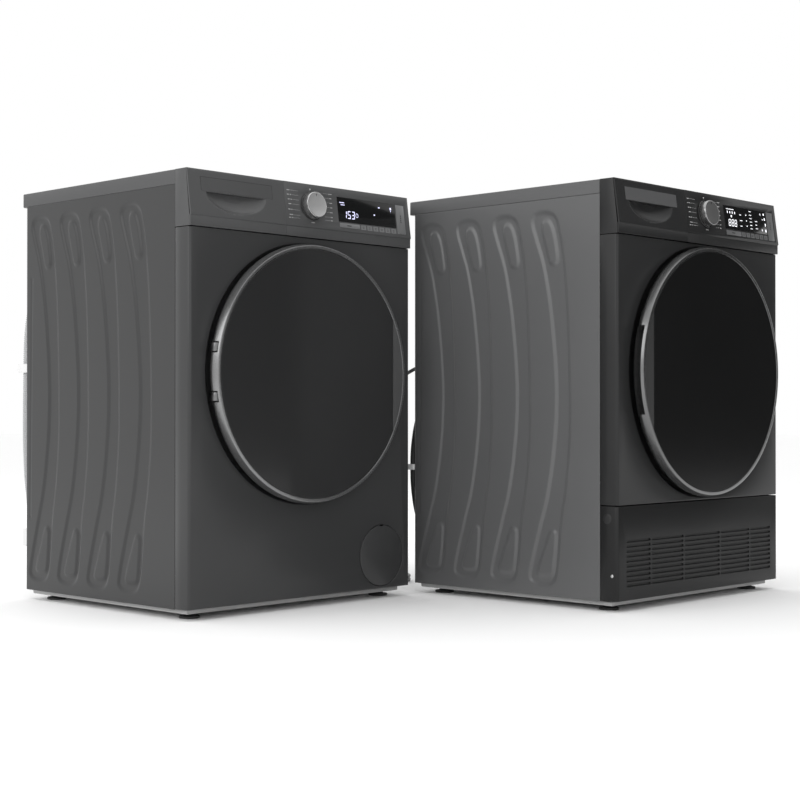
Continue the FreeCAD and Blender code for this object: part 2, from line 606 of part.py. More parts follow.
def belt(name, X, Y, c1, r1, c2, r2, t, y0, y1):
    """Flat belt round two pulleys with crossed-free tangents, as one loop."""
    def loop(ra, rb):
        dx, dz = c2[0] - c1[0], c2[1] - c1[1]
        L = math.hypot(dx, dz)
        base = math.atan2(dz, dx)
        b = math.acos((ra - rb) / L)
        P = lambda c, rr, an: Vector(c[0] + rr * math.cos(an), 0, c[1] + rr * math.sin(an))
        a1, a2 = P(c1, ra, base + b), P(c1, ra, base - b)
        b1, b2 = P(c2, rb, base + b), P(c2, rb, base - b)
        am, bm = P(c1, ra, base + math.pi), P(c2, rb, base)
        return Part.Wire([Part.Arc(a1, am, a2).toShape(), Part.LineSegment(a2, b2).toShape(),
                          Part.Arc(b2, bm, b1).toShape(), Part.LineSegment(b1, a1).toShape()])
    outer = Part.Face(loop(r1 + t, r2 + t)).extrude(Vector(0, y1 - y0, 0))
    inner = Part.Face(loop(r1, r2)).extrude(Vector(0, y1 - y0 + 2, 0))
    inner.translate(Vector(0, -1, 0))
    o = doc.addObject("Part::Feature", name)
    o.Shape = outer.cut(inner)
    o.Placement = Placement(Vector(num(X), num(Y) + y0, 0), Rotation())
    return node(o, name)


belt("washer_drive_belt", WX, WY, (0.0, sheet.door_z), 138.4, (MX, MZ), 12.4, 2.5, 489, 501)
belt("dryer_drive_belt", DX, DY, (0.0, sheet.door_zd), sheet.drum_rad + 0.4, (30.0, 104.0), 9.4, 1.5, 345, 353)

# --- hoses and the mains cord -----------------------------------------------


def route(pts, dia, share, tag, shrink=1.0):
    """Straight runs joined by tangent arcs through the points of a route."""
    P = [Vector(*q) for q in pts]
    edges = []
    radii = []
    last = P[0]
    total = 0.0
    for i in range(1, len(P) - 1):
        u = (P[i] - P[i - 1])
        v = (P[i + 1] - P[i])
        la, lb = u.Length, v.Length
        u.normalize()
        v.normalize()
        th = u.getAngle(v)
        rr = share * min(la, lb) / math.tan(th / 2)
        tl = share * min(la, lb)
        A = P[i] - u * tl
        B = P[i] + v * tl
        w = (v - u)
        w.normalize()
        cen = P[i] + w * (rr / math.cos(th / 2))
        M = cen - w * rr
        edges.append(Part.LineSegment(last, A).toShape())
        edges.append(Part.Arc(A, M, B).toShape())
        total += (A - last).Length + rr * th
        radii.append((round(rr, 1), round(math.degrees(th), 1)))
        last = B
    edges.append(Part.LineSegment(last, P[-1]).toShape())
    total += (P[-1] - last).Length
    wire = Part.Wire(edges)
    d0 = P[1] - P[0]
    d0.normalize()
    prof = Part.Wire([Part.Circle(P[0], d0, dia / 2.0).toShape()])
    sh = wire.makePipeShell([prof], True, False)
    if sh.ShapeType != "Solid":
        sh = Part.Solid(Part.Shell(sh.Faces))
    want = math.pi * dia * dia / 4 * total
    print("%s length %.1f volume ratio %.4f least radius %.1f most turn %.1f"
          % (tag, total, sh.Volume / want, min(a for a, b in radii), max(b for a, b in radii)))
    return sh


def tube(name, X, Y, pts, dia, share=0.45):
    o = doc.addObject("Part::Feature", name)
    o.Shape = route(pts, dia, share, name)
    o.Placement = Placement(Vector(num(X), num(Y), 0), Rotation())
    return node(o, name)


HOSE = [(-268, 553, 146), (-270, 555, 186), (-274, 560, 250), (-276.5, 562, 330), (-277, 561, 410),
        (-276, 559, 552), (-266, 557, 620), (-236, 557, 674), (-180, 557, 704), (-60, 557, 716), (60, 557, 716),
        (170, 557, 690), (222, 557, 630), (246, 557, 550), (252, 557, 460), (250, 557, 370), (247, 557, 280)]
tube("washer_drain_hose", WX, WY, HOSE, float(sheet.hose_dia))
COND = [(-242, 549, 456), (-246, 549, 432), (-260, 549, 404), (-278, 549.5, 360), (-288, 550, 306),
        (-288, 550, 234), (-279, 549.5, 180), (-262, 549, 136), (-252, 549, 98)]
tube("dryer_condensate_hose", DX, DY, COND, float(sheet.cond_dia))
CORD = [(-225, 576, 492), (-229, 604, 484), (-247, 628, 466), (-276, 642, 440), (-302, 650, 402), (-319, 657, 354),
        (-327, 664, 300), (-330, 671, 246), (-331, 679, 192), (-329, 686, 138), (-322, 694, 88), (-308, 701, 46),
        (-286, 705, 18), (-258, 701, 5.5), (-228, 693.5, 4.5), (-204, 686.8, 4.5)]
tube("dryer_power_cord", DX, DY, CORD, float(sheet.cord_dia))

clips = []
for i, (x, y, z, ax) in enumerate([(-276.5, 560, 481, "Z"), (-120, 557, 710, "X"), (115, 557, 703, "X"),
                                   (251, 557, 415, "Z")]):
    if ax == "Z":
        b = box("clip_box%d" % i, WX + x - 17, WX + x + 17, WY + cab_d + 0.3, WY + y + 16.714, z - 9, z + 9)
        k = cyl("clip_hole%d" % i, WX + x, WY + y, z - 20, "Z", 13.4, 40)
        n = box("clip_mouth%d" % i, WX + x - 9, WX + x + 9, WY + y, WY + y + 30, z - 20, z + 20)
    else:
        b = box("clip_box%d" % i, WX + x - 9, WX + x + 9, WY + cab_d + 2.2, WY + y + 15.5, z - 17.5, z + 17.5)
        k = cyl("clip_hole%d" % i, WX + x - 20, WY + y, z, "X", 15.4, 40)
        n = box("clip_mouth%d" % i, WX + x - 20, WX + x + 20, WY + y, WY + y + 30, z - 9, z + 9)
    clips.append(cut("clip_%d" % i, b, fuse("clip_tool%d" % i, [k, n])))
for i, (x, y, z) in enumerate([(-288, 550, 270), (-257, 549, 117)]):
    b = box("cclip_box%d" % i, DX + x - 13, DX + x + 13, DY + cab_d + 0.3, DY + y + 10.4, z - 6, z + 6)
    k = cyl("cclip_hole%d" % i, DX + x, DY + y, z - 15, "Z", 7.4 if i == 0 else 9.4, 30)
    clips.append(cut("cclip_%d" % i, b, k))
# covers over the ports where the hoses leave and enter the rear walls
clips += [box("port_w", WX - 286, WX - 252, WY + cab_d + 0.3, WY + 568, 108, 144.9),
          box("port_da", DX - 255, DX - 229, DY + cab_d + 0.3, DY + 558, 457.8, 474),
          box("port_db", DX - 265, DX - 239, DY + cab_d + 0.3, DY + 558, 66, 96)]
node(fuse("hose_clips_f", clips), "hose_clips")

node(fuse("dryer_strain_relief_f", [cyl("sr_flange", DX - 225, DY + cab_d + 0.3, 492, "Y", 13, 4),
                                    cyl("sr_boot", DX - 225, DY + cab_d + 3, 492, "Y", 8.5, 35, 5.2)]),
     "dryer_strain_relief")
coil = PD("dryer_cord_coil", DX - 180, DY + 728, 0)
coil.turn("XZ", [[(33.0, 4.0), (37.0, 0.4), (48.0, 0.4), (52.0, 4.0), (52.0, 13.0), (48.0, 17.0), (37.0, 17.0),
                  (33.0, 13.0)]])
node(fuse("dryer_plug_f", [
    cyl("pl_lead", DX - 131, DY + 733, 8.5, "Y", 4, 26),
    cyl("pl_boot", DX - 131, DY + 758.2, 8.5, "Y", 4.2, 22, 7),
    box("pl_body", DX - 148, DX - 114, DY + 778, DY + 816, 0.4, 24),
    cyl("pl_pin_a", DX - 140.5, DY + 815, 12, "Y", 2.4, 20),
    cyl("pl_pin_b", DX - 121.5, DY + 815, 12, "Y", 2.4, 20),
]), "dryer_plug")

doc.recompute()

# --- check every object, then write one file per piece -----------------------
bad = [o.Name for o in doc.Objects if ("Invalid" in o.State or "Error" in o.State)]
if bad:
    raise RuntimeError("failed objects: " + ", ".join(bad))
for nm, o in NODES.items():
    if o.Shape.isNull() or not o.Shape.isValid() or not o.Shape.Solids:
        raise RuntimeError("bad shape: " + nm)
os.makedirs("parts", exist_ok=True)
for nm, o in sorted(NODES.items()):
    o.Shape.exportStep("parts/%s.step" % nm)
lim = FreeCAD.BoundBox()
for nm, o in NODES.items():
    if nm not in ("dryer_power_cord", "dryer_cord_coil", "dryer_plug", "dryer_strain_relief"):
        lim.add(o.Shape.BoundBox)
print("pieces %d  X %.3f %.3f  Y %.3f %.3f  Z %.3f %.3f" % (len(NODES), lim.XMin, lim.XMax, lim.YMin, lim.YMax,
                                                           lim.ZMin, lim.ZMax))
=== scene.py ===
import bpy, bmesh, math, json
import numpy as np
from mathutils import Vector, Matrix
from mathutils.geometry import delaunay_2d_cdt

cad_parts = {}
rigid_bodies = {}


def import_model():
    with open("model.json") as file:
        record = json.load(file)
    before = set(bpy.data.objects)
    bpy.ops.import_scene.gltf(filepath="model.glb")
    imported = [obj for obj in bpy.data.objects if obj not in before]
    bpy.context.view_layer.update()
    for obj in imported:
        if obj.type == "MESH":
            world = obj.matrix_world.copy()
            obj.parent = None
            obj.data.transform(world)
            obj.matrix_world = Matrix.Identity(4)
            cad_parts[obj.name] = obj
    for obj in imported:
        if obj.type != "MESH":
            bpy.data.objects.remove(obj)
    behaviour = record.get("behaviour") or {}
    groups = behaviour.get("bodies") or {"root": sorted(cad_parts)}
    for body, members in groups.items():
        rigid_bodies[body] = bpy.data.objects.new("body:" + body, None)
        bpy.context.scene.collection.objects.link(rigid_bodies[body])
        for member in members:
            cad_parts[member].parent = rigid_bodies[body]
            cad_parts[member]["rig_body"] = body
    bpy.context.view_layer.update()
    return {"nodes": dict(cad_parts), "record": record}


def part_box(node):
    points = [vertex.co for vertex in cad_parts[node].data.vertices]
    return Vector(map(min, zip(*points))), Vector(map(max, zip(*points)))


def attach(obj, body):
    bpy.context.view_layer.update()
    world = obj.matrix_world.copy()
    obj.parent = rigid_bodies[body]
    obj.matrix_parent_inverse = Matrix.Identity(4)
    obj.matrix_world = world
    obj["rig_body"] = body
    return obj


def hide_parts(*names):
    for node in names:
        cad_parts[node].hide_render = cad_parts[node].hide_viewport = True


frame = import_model()


NODE = frame["nodes"]
BODY_OF = {n: o["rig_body"] for n, o in NODE.items()}
MM = 0.001

# ---------------------------------------------------------------- measures
H = 297.5            # half width
D = 538.0            # front panel to rear wall
TOP = 845.0


def origin(p):
    """Machine origin: middle of its front panel's plane, on the floor."""
    a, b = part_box(p + "_cabinet")
    f0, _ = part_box(p + "_front_panel")
    return Vector(((a.x + b.x) / 2, f0.y, 0.0))


ORG = {"washer": origin("washer"), "dryer": origin("dryer")}
DOOR_Z = {p: (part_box(p + "_door_ring")[0].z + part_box(p + "_door_ring")[1].z) / 2 / MM for p in ORG}


def G(p, x, y, z):
    o = ORG[p]
    return (o.x + x * MM, o.y + y * MM, z * MM)


SY, SZ = 12 / 88.0218, 87.2 / 88.0218


def slope(s, n):
    return (-5 + SY * s - SZ * n, 757.8 + SZ * s + SY * n)


# ---------------------------------------------------------------- camera
cam_data = bpy.data.cameras.new("camera")
cam = bpy.data.objects.new("camera", cam_data)
bpy.context.scene.collection.objects.link(cam)
bpy.context.scene.camera = cam
cam_data.sensor_width = 36.0
cam_data.lens = 71.26
cam_data.clip_end = 60
yaw, pitch = math.radians(-46.4), math.radians(-0.37)
fwd = Vector((-math.sin(yaw) * math.cos(pitch), math.cos(yaw) * math.cos(pitch), -math.sin(pitch)))
o = ORG["washer"]
cam.location = (o.x - 0.2975 - 1.856, o.y - 2.307, 0.393)
cam.rotation_euler = fwd.to_track_quat("-Z", "Y").to_euler()

# ---------------------------------------------------------------- materials
MATS = {}


def nd(nt, kind, **kw):
    n = nt.nodes.new(kind)
    for k, v in kw.items():
        setattr(n, k, v)
    return n


def paint(name, col, rough=0.4, metallic=0.0, grain=900.0, bump=0.02, vary=0.05, rvary=0.06, coat=0.0,
          coat_rough=0.1, big=3.0, spec=0.5, dist=0.0003, aniso=None, mottle=None):
    """A finish with slow colour drift, a fine grain in roughness and a fine surface texture."""
    m = bpy.data.materials.new(name)
    m.use_nodes = True
    nt = m.node_tree
    b = nt.nodes["Principled BSDF"]
    b.inputs["Metallic"].default_value = metallic
    b.inputs["Specular IOR Level"].default_value = spec
    b.inputs["Coat Weight"].default_value = coat
    b.inputs["Coat Roughness"].default_value = coat_rough
    tc = nd(nt, "ShaderNodeTexCoord")
    n1 = nd(nt, "ShaderNodeTexNoise")
    n1.inputs["Scale"].default_value = big
    n1.inputs["Detail"].default_value = 3.0
    nt.links.new(tc.outputs["Object"], n1.inputs["Vector"])
    r1 = nd(nt, "ShaderNodeValToRGB")
    c = [min(1.0, v) for v in col]
    r1.color_ramp.elements[0].position = 0.3
    r1.color_ramp.elements[1].position = 0.7
    r1.color_ramp.elements[0].color = (c[0] * (1 - vary), c[1] * (1 - vary), c[2] * (1 - vary), 1)
    r1.color_ramp.elements[1].color = (c[0] * (1 + vary), c[1] * (1 + vary), c[2] * (1 + vary), 1)
    nt.links.new(n1.outputs["Fac"], r1.inputs["Fac"])
    src = r1.outputs["Color"]
    n2 = nd(nt, "ShaderNodeTexNoise")
    n2.inputs["Scale"].default_value = grain
    n2.inputs["Detail"].default_value = 2.0
    nt.links.new(tc.outputs["Object"], n2.inputs["Vector"])
    if mottle:
        mx = nd(nt, "ShaderNodeMix", data_type="RGBA", blend_type="MULTIPLY")
        mx.inputs["Factor"].default_value = mottle
        nt.links.new(src, mx.inputs[6])
        nt.links.new(n2.outputs["Fac"], mx.inputs[7])
        src = mx.outputs[2]
    nt.links.new(src, b.inputs["Base Color"])
    mr = nd(nt, "ShaderNodeMapRange")
    mr.inputs["To Min"].default_value = max(0.02, rough - rvary)
    mr.inputs["To Max"].default_value = min(1.0, rough + rvary)
    nt.links.new(n2.outputs["Fac"], mr.inputs["Value"])
    nt.links.new(mr.outputs["Result"], b.inputs["Roughness"])
    bp = nd(nt, "ShaderNodeBump")
    bp.inputs["Strength"].default_value = bump
    bp.inputs["Distance"].default_value = dist
    nt.links.new(n2.outputs["Fac"], bp.inputs["Height"])
    nt.links.new(bp.outputs["Normal"], b.inputs["Normal"])
    MATS[name] = m
    return m


def glow(name, col, strength):
    m = bpy.data.materials.new(name)
    m.use_nodes = True
    nt = m.node_tree
    b = nt.nodes["Principled BSDF"]
    b.inputs["Base Color"].default_value = (*col, 1)
    b.inputs["Emission Color"].default_value = (*col, 1)
    b.inputs["Emission Strength"].default_value = strength
    b.inputs["Roughness"].default_value = 0.3
    MATS[name] = m
    return m


def g3(v, t=0.0):
    return (v * (1 - t), v, v * (1 + 1.5 * t))


paint("side_w", g3(0.035, 0.01), rough=0.36, grain=1400, bump=0.08, vary=0.03, coat=0.2, coat_rough=0.2, spec=0.3)
# the dryer's side paint is lighter partly for its own grey and partly as painted light, making up for the shade the
# washer casts across it
paint("side_d", g3(0.105, 0.01), rough=0.36, grain=1400, bump=0.08, vary=0.03, coat=0.4, coat_rough=0.2, spec=0.3)
paint("front_w", g3(0.04, 0.012), rough=0.33, grain=1400, bump=0.08, vary=0.03, coat=0.1, coat_rough=0.22, spec=0.3)
paint("front_d", g3(0.024, 0.01), rough=0.36, grain=1400, bump=0.08, vary=0.03, coat=0.1, coat_rough=0.22, spec=0.2)
paint("plinth_d", g3(0.014, 0.01), rough=0.4, grain=1400, bump=0.08, vary=0.03, coat=0.1, coat_rough=0.25, spec=0.2)
paint("fascia_w", g3(0.075, 0.01), rough=0.34, grain=2400, bump=0.14, vary=0.03, spec=0.35)
paint("fascia_d", g3(0.022, 0.01), rough=0.34, grain=2400, bump=0.14, vary=0.03, spec=0.25)
paint("top_w", g3(0.082, 0.01), rough=0.45, grain=1800, bump=0.18, vary=0.03, spec=0.3)
paint("top_d", g3(0.105, 0.01), rough=0.45, grain=1800, bump=0.18, vary=0.03, spec=0.3)
paint("plate_d", g3(0.12, 0.01), rough=0.42, metallic=0.4, grain=2200, bump=0.05, vary=0.03)
paint("plate_w", g3(0.075, 0.01), rough=0.38, metallic=0.2, grain=2200, bump=0.05, vary=0.03)
paint("ring_w", g3(0.24, 0.005), rough=0.28, metallic=0.85, grain=2600, bump=0.05, vary=0.04, coat=0.4, coat_rough=0.1)
paint("ring_d", g3(0.17, 0.005), rough=0.26, metallic=0.85, grain=2600, bump=0.05, vary=0.04, coat=0.4, coat_rough=0.1)
paint("chrome", g3(0.75, 0.0), rough=0.12, metallic=1.0, grain=1500, bump=0.01, vary=0.03, rvary=0.03)
paint("disc_w", g3(0.024, 0.01), rough=0.16, grain=500, bump=0.004, vary=0.06, rvary=0.02, coat=0.2, coat_rough=0.08, spec=0.3)
paint("disc_d", g3(0.009, 0.01), rough=0.16, grain=500, bump=0.004, vary=0.06, rvary=0.02, coat=0.0, coat_rough=0.08, spec=0.2)
paint("display", g3(0.010, 0.02), rough=0.12, grain=500, bump=0.003, vary=0.05, rvary=0.02, coat=0.1, coat_rough=0.05, spec=0.3)
paint("knob_w", g3(0.5, 0.0), rough=0.34, metallic=0.55, grain=2600, bump=0.05, vary=0.03)
paint("knob_d", g3(0.20, 0.0), rough=0.30, metallic=0.6, grain=2600, bump=0.05, vary=0.03)
paint("knob_side_w", g3(0.42, 0.0), rough=0.2, metallic=0.9, grain=2600, bump=0.03, vary=0.04)
paint("knob_side_d", g3(0.30, 0.0), rough=0.2, metallic=0.9, grain=2600, bump=0.03, vary=0.04)
paint("knob_base", g3(0.025, 0.0), rough=0.25, grain=2600, bump=0.03, vary=0.04, coat=0.3)
paint("key_w", g3(0.20, 0.01), rough=0.35, metallic=0.25, grain=2600, bump=0.05, vary=0.03)
paint("key_d", g3(0.16, 0.01), rough=0.35, metallic=0.25, grain=2600, bump=0.05, vary=0.03)
# black for printed marks, and painted shade in gaps: the sheet behind the dryer's grille and the groove round the
# washer's nameplate
paint("black_print_and_gap_shade", g3(0.006), rough=0.6, grain=900, bump=0.02)
paint("gasket", g3(0.16, 0.0), rough=0.62, grain=1200, bump=0.25, vary=0.05)
paint("rubber_black", g3(0.02, 0.0), rough=0.6, grain=1400, bump=0.3, vary=0.08)
paint("foot_light", g3(0.45, 0.0), rough=0.5, grain=1400, bump=0.15, vary=0.05)
paint("tray_light", g3(0.42, 0.0), rough=0.5, grain=1200, bump=0.15, vary=0.05)
paint("white_plastic", g3(0.75, 0.0), rough=0.42, grain=1200, bump=0.12, vary=0.03)
paint("hose_light", g3(0.42, 0.01), rough=0.46, grain=1200, bump=0.15, vary=0.05)
paint("hose_dark", g3(0.03, 0.0), rough=0.5, grain=1200, bump=0.2, vary=0.06)
paint("cord_grey", g3(0.20, 0.0), rough=0.48, grain=1800, bump=0.15, vary=0.05)
paint("plug_grey", g3(0.17, 0.0), rough=0.42, grain=1800, bump=0.12, vary=0.05)
paint("galvanised", g3(0.42, 0.01), rough=0.4, metallic=0.8, grain=160, bump=0.02, vary=0.05, rvary=0.06, big=14, mottle=0.08)
paint("zinc", g3(0.55, 0.0), rough=0.3, metallic=1.0, grain=900, bump=0.03, vary=0.08)
paint("alloy", g3(0.55, 0.0), rough=0.45, metallic=0.9, grain=500, bump=0.15, vary=0.08)
paint("motor", g3(0.16, 0.0), rough=0.5, metallic=0.3, grain=700, bump=0.1, vary=0.08)
paint("concrete", g3(0.35, -0.03), rough=0.85, grain=220, bump=0.5, vary=0.12, mottle=0.5, dist=0.001)
paint("tub", g3(0.5, 0.0), rough=0.6, grain=700, bump=0.12, vary=0.05)
paint("inner_grey", g3(0.36, 0.01), rough=0.45, grain=1200, bump=0.1, vary=0.04)
paint("fins", g3(0.45, 0.03), rough=0.35, metallic=0.8, grain=700, bump=0.1, vary=0.08)
glow("glow_blue", (0.72, 0.72, 1.0), 1.0)
glow("glow_white", (0.95, 0.96, 1.0), 0.95)
paint("print_w", g3(0.50, 0.0), rough=0.5, grain=2000, bump=0.02)
paint("print_d", g3(0.62, 0.0), rough=0.5, grain=2000, bump=0.02)


def steel_drum(name):
    """Brushed sheet with punched holes drawn as near-black dots on a regular grid in the piece's own coordinates; the
    dark in the holes is painted shade.
    """
    m = bpy.data.materials.new(name)
    m.use_nodes = True
    nt = m.node_tree
    b = nt.nodes["Principled BSDF"]
    b.inputs["Metallic"].default_value = 1.0
    tc = nd(nt, "ShaderNodeTexCoord")
    n = nd(nt, "ShaderNodeTexNoise")
    n.inputs["Scale"].default_value = 40
    mp = nd(nt, "ShaderNodeMapping")
    mp.inputs["Scale"].default_value = (1, 30, 1)
    nt.links.new(tc.outputs["Object"], mp.inputs["Vector"])
    nt.links.new(mp.outputs["Vector"], n.inputs["Vector"])
    v = nd(nt, "ShaderNodeTexVoronoi", feature="F1")
    v.inputs["Scale"].default_value = 62.0
    v.inputs["Randomness"].default_value = 0.0
    nt.links.new(tc.outputs["Object"], v.inputs["Vector"])
    lt = nd(nt, "ShaderNodeMath", operation="LESS_THAN")
    lt.inputs[1].default_value = 0.24
    nt.links.new(v.outputs["Distance"], lt.inputs[0])
    mx = nd(nt, "ShaderNodeMix", data_type="RGBA")
    mx.inputs[6].default_value = (0.55, 0.555, 0.56, 1)
    # painted shade: near-black in the hole dots, for the dark seen through the holes
    mx.inputs[7].default_value = (0.02, 0.02, 0.02, 1)
    nt.links.new(lt.outputs[0], mx.inputs["Factor"])
    nt.links.new(mx.outputs[2], b.inputs["Base Color"])
    mr = nd(nt, "ShaderNodeMapRange")
    mr.inputs["To Min"].default_value = 0.22
    mr.inputs["To Max"].default_value = 0.4
    nt.links.new(n.outputs["Fac"], mr.inputs["Value"])
    nt.links.new(mr.outputs["Result"], b.inputs["Roughness"])
    bp = nd(nt, "ShaderNodeBump")
    bp.inputs["Strength"].default_value = 0.4
    bp.inputs["Distance"].default_value = 0.0006
    inv = nd(nt, "ShaderNodeMath", operation="SUBTRACT")
    inv.inputs[0].default_value = 1.0
    nt.links.new(lt.outputs[0], inv.inputs[1])
    nt.links.new(inv.outputs[0], bp.inputs["Height"])
    nt.links.new(bp.outputs["Normal"], b.inputs["Normal"])
    MATS[name] = m


steel_drum("drum_steel")


def clear_glass(name):
    m = bpy.data.materials.new(name)
    m.use_nodes = True
    nt = m.node_tree
    b = nt.nodes["Principled BSDF"]
    b.inputs["Transmission Weight"].default_value = 0.9
    b.inputs["IOR"].default_value = 1.45
    tc = nd(nt, "ShaderNodeTexCoord")
    n = nd(nt, "ShaderNodeTexNoise")
    n.inputs["Scale"].default_value = 6
    nt.links.new(tc.outputs["Object"], n.inputs["Vector"])
    mr = nd(nt, "ShaderNodeMapRange")
    mr.inputs["To Min"].default_value = 0.02
    mr.inputs["To Max"].default_value = 0.07
    nt.links.new(n.outputs["Fac"], mr.inputs["Value"])
    nt.links.new(mr.outputs["Result"], b.inputs["Roughness"])
    r = nd(nt, "ShaderNodeValToRGB")
    r.color_ramp.elements[0].color = (0.72, 0.76, 0.76, 1)
    r.color_ramp.elements[1].color = (0.80, 0.84, 0.84, 1)
    nt.links.new(n.outputs["Fac"], r.inputs["Fac"])
    nt.links.new(r.outputs["Color"], b.inputs["Base Color"])
    MATS[name] = m


clear_glass("bowl_glass")

# ---------------------------------------------------------------- mesh helpers


def link(ob):
    bpy.context.scene.collection.objects.link(ob)
    return ob


def mesh_obj(name, verts, faces, mats=("black_print_and_gap_shade",), fmat=None, sharp=32.0):
    me = bpy.data.meshes.new(name)
    me.from_pydata([tuple(v) for v in verts], [], [tuple(f) for f in faces])
    for m in mats:
        me.materials.append(MATS[m])
    if fmat is not None:
        me.polygons.foreach_set("material_index", np.array(fmat, np.int32))
    me.validate()
    finish_normals(me, sharp)
    return link(bpy.data.objects.new(name, me))


def finish_normals(me, sharp):
    bm = bmesh.new()
    bm.from_mesh(me)
    bmesh.ops.recalc_face_normals(bm, faces=bm.faces)
    lim = math.radians(sharp)
    for e in bm.edges:
        e.smooth = not (len(e.link_faces) == 2 and e.calc_face_angle(0.0) > lim)
    for f in bm.faces:
        f.smooth = True
    bm.to_mesh(me)
    bm.free()


def bevel(ob, w, seg=3, angle=35.0):
    md = ob.modifiers.new("edge", "BEVEL")
    md.width = w * MM
    md.segments = seg
    md.limit_method = "ANGLE"
    md.angle_limit = math.radians(angle)
    md.harden_normals = True
    md.use_clamp_overlap = True
    return ob


def wn(ob):
    md = ob.modifiers.new("wn", "WEIGHTED_NORMAL")
    md.keep_sharp = True
    return ob


def settle(ob):
    """Apply the modifiers, so that the piece is its final mesh."""
    bpy.context.view_layer.update()
    dg = bpy.context.evaluated_depsgraph_get()
    me = bpy.data.meshes.new_from_object(ob.evaluated_get(dg))
    ob.modifiers.clear()
    ob.data = me
    return ob


def put(ob, body, slot, *nodes):
    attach(ob, body)
    if nodes:
        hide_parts(*nodes)
    return ob


def refine(node, mat, w=0.8, seg=2, angle=38.0, slot=None, weld=0.00002):
    """A finer copy of a CAD piece: welded, its flats joined up, its edges rounded."""
    src = NODE[node]
    bm = bmesh.new()
    bm.from_mesh(src.data)
    bmesh.ops.remove_doubles(bm, verts=bm.verts, dist=weld)
    bmesh.ops.dissolve_limit(bm, angle_limit=math.radians(0.6), verts=bm.verts, edges=bm.edges)
    me = bpy.data.meshes.new("v_" + node)
    for f in bm.faces:
        f.smooth = True
    bm.to_mesh(me)
    bm.free()
    me.materials.clear()
    me.materials.append(MATS[mat])
    ob = link(bpy.data.objects.new("v_" + node, me))
    if w > 0:
        bevel(ob, w, seg, angle)
        settle(ob)
    else:
        finish_normals(ob.data, 30.0)
    return put(ob, BODY_OF[node], slot or src_slot(node), node)


REC = frame["record"]
SLOT_OF = {s["node"]: s["material_slot"] for s in REC["subparts"]}


def src_slot(node):
    return SLOT_OF[node]


def dress(node, mat, sharp=30.0):
    """A CAD piece that stays as it is and gets its finish."""
    ob = NODE[node]
    ob.data.materials.clear()
    ob.data.materials.append(MATS[mat])


def loft(name, rings, closed_ring=True, closed_path=False, caps=False, **kw):
    """Quads through a list of rings of points."""
    n = len(rings[0])
    verts = [p for r in rings for p in r]
    faces = []
    m = len(rings)
    for i in range(m if closed_path else m - 1):
        a, b = i * n, ((i + 1) % m) * n
        for j in range(n if closed_ring else n - 1):
            k = (j + 1) % n
            faces.append((a + j, a + k, b + k, b + j))
    if caps:
        faces.append(tuple(range(n))[::-1])
        faces.append(tuple((m - 1) * n + j for j in range(n)))
    return mesh_obj(name, verts, faces, **kw)


def lathe(name, prof, c, axis=(0, -1, 0), segs=128, pole=False, **kw):
    """Turn a closed profile of (radius, height) about an axis through c. Metres in c, mm in prof."""
    ax = Vector(axis).normalized()
    q = Vector((0, 0, 1)).rotation_difference(ax)
    rings = []
    for i in range(segs):
        t = 2 * math.pi * i / segs
        rings.append([Vector(c) + q @ Vector((r * MM * math.cos(t), r * MM * math.sin(t), h * MM)) for r, h in prof])
    ob = loft(name, rings, closed_ring=True, closed_path=True, **kw)
    if pole:
        bm = bmesh.new()
        bm.from_mesh(ob.data)
        bmesh.ops.remove_doubles(bm, verts=bm.verts, dist=1e-6)
        bm.to_mesh(ob.data)
        bm.free()
        finish_normals(ob.data, kw.get("sharp", 32.0))
    return ob


def round_poly(pts, rads, n=4):
    """Polygon with its corners rounded by the given radii."""
    out = []
    m = len(pts)
    for i in range(m):
        p0, p1, p2 = Vector(pts[i - 1]), Vector(pts[i]), Vector(pts[(i + 1) % m])
        r = rads[i] if isinstance(rads, (list, tuple)) else rads
        if r <= 0:
            out.append(tuple(p1))
            continue
        u, v = (p0 - p1), (p2 - p1)
        lu, lv = u.length, v.length
        u.normalize(); v.normalize()
        th = math.acos(max(-1, min(1, u.dot(v))))
        if th > math.pi - 0.03:
            out.append(tuple(p1))
            continue
        tl = min(r / math.tan(th / 2), lu * 0.48, lv * 0.48)
        rr = tl * math.tan(th / 2)
        w = (u + v).normalized()
        cen = p1 + w * (rr / math.sin(th / 2))
        a = p1 + u * tl - cen
        b = p1 + v * tl - cen
        for k in range(n + 1):
            t = k / n
            w2 = (a.lerp(b, t)).normalized() * rr
            out.append(tuple(cen + w2))
    return out


def plate2d(outer, holes):
    """Flat triangles between an outer polygon and holes. Returns points and faces."""
    pts = [Vector(p) for p in outer]
    edges = []
    n = len(outer)
    edges += [(i, (i + 1) % n) for i in range(n)]
    for hole in holes:
        b = len(pts)
        pts += [Vector(p) for p in hole]
        k = len(hole)
        edges += [(b + i, b + (i + 1) % k) for i in range(k)]
    vs, es, fs, ov, oe, of = delaunay_2d_cdt(pts, edges, [], 0, 1e-7)
    vs = [tuple(v) for v in vs]

    def inside(poly, x, y):
        c = False
        m = len(poly)
        for i in range(m):
            x0, y0 = poly[i - 1]
            x1, y1 = poly[i]
            if (y0 > y) != (y1 > y) and x < (x1 - x0) * (y - y0) / (y1 - y0) + x0:
                c = not c
        return c
    keep = []
    for f in fs:
        x = sum(vs[i][0] for i in f) / len(f)
        y = sum(vs[i][1] for i in f) / len(f)
        if inside(outer, x, y) and not any(inside(hh, x, y) for hh in holes):
            keep.append(tuple(f))
    return vs, keep


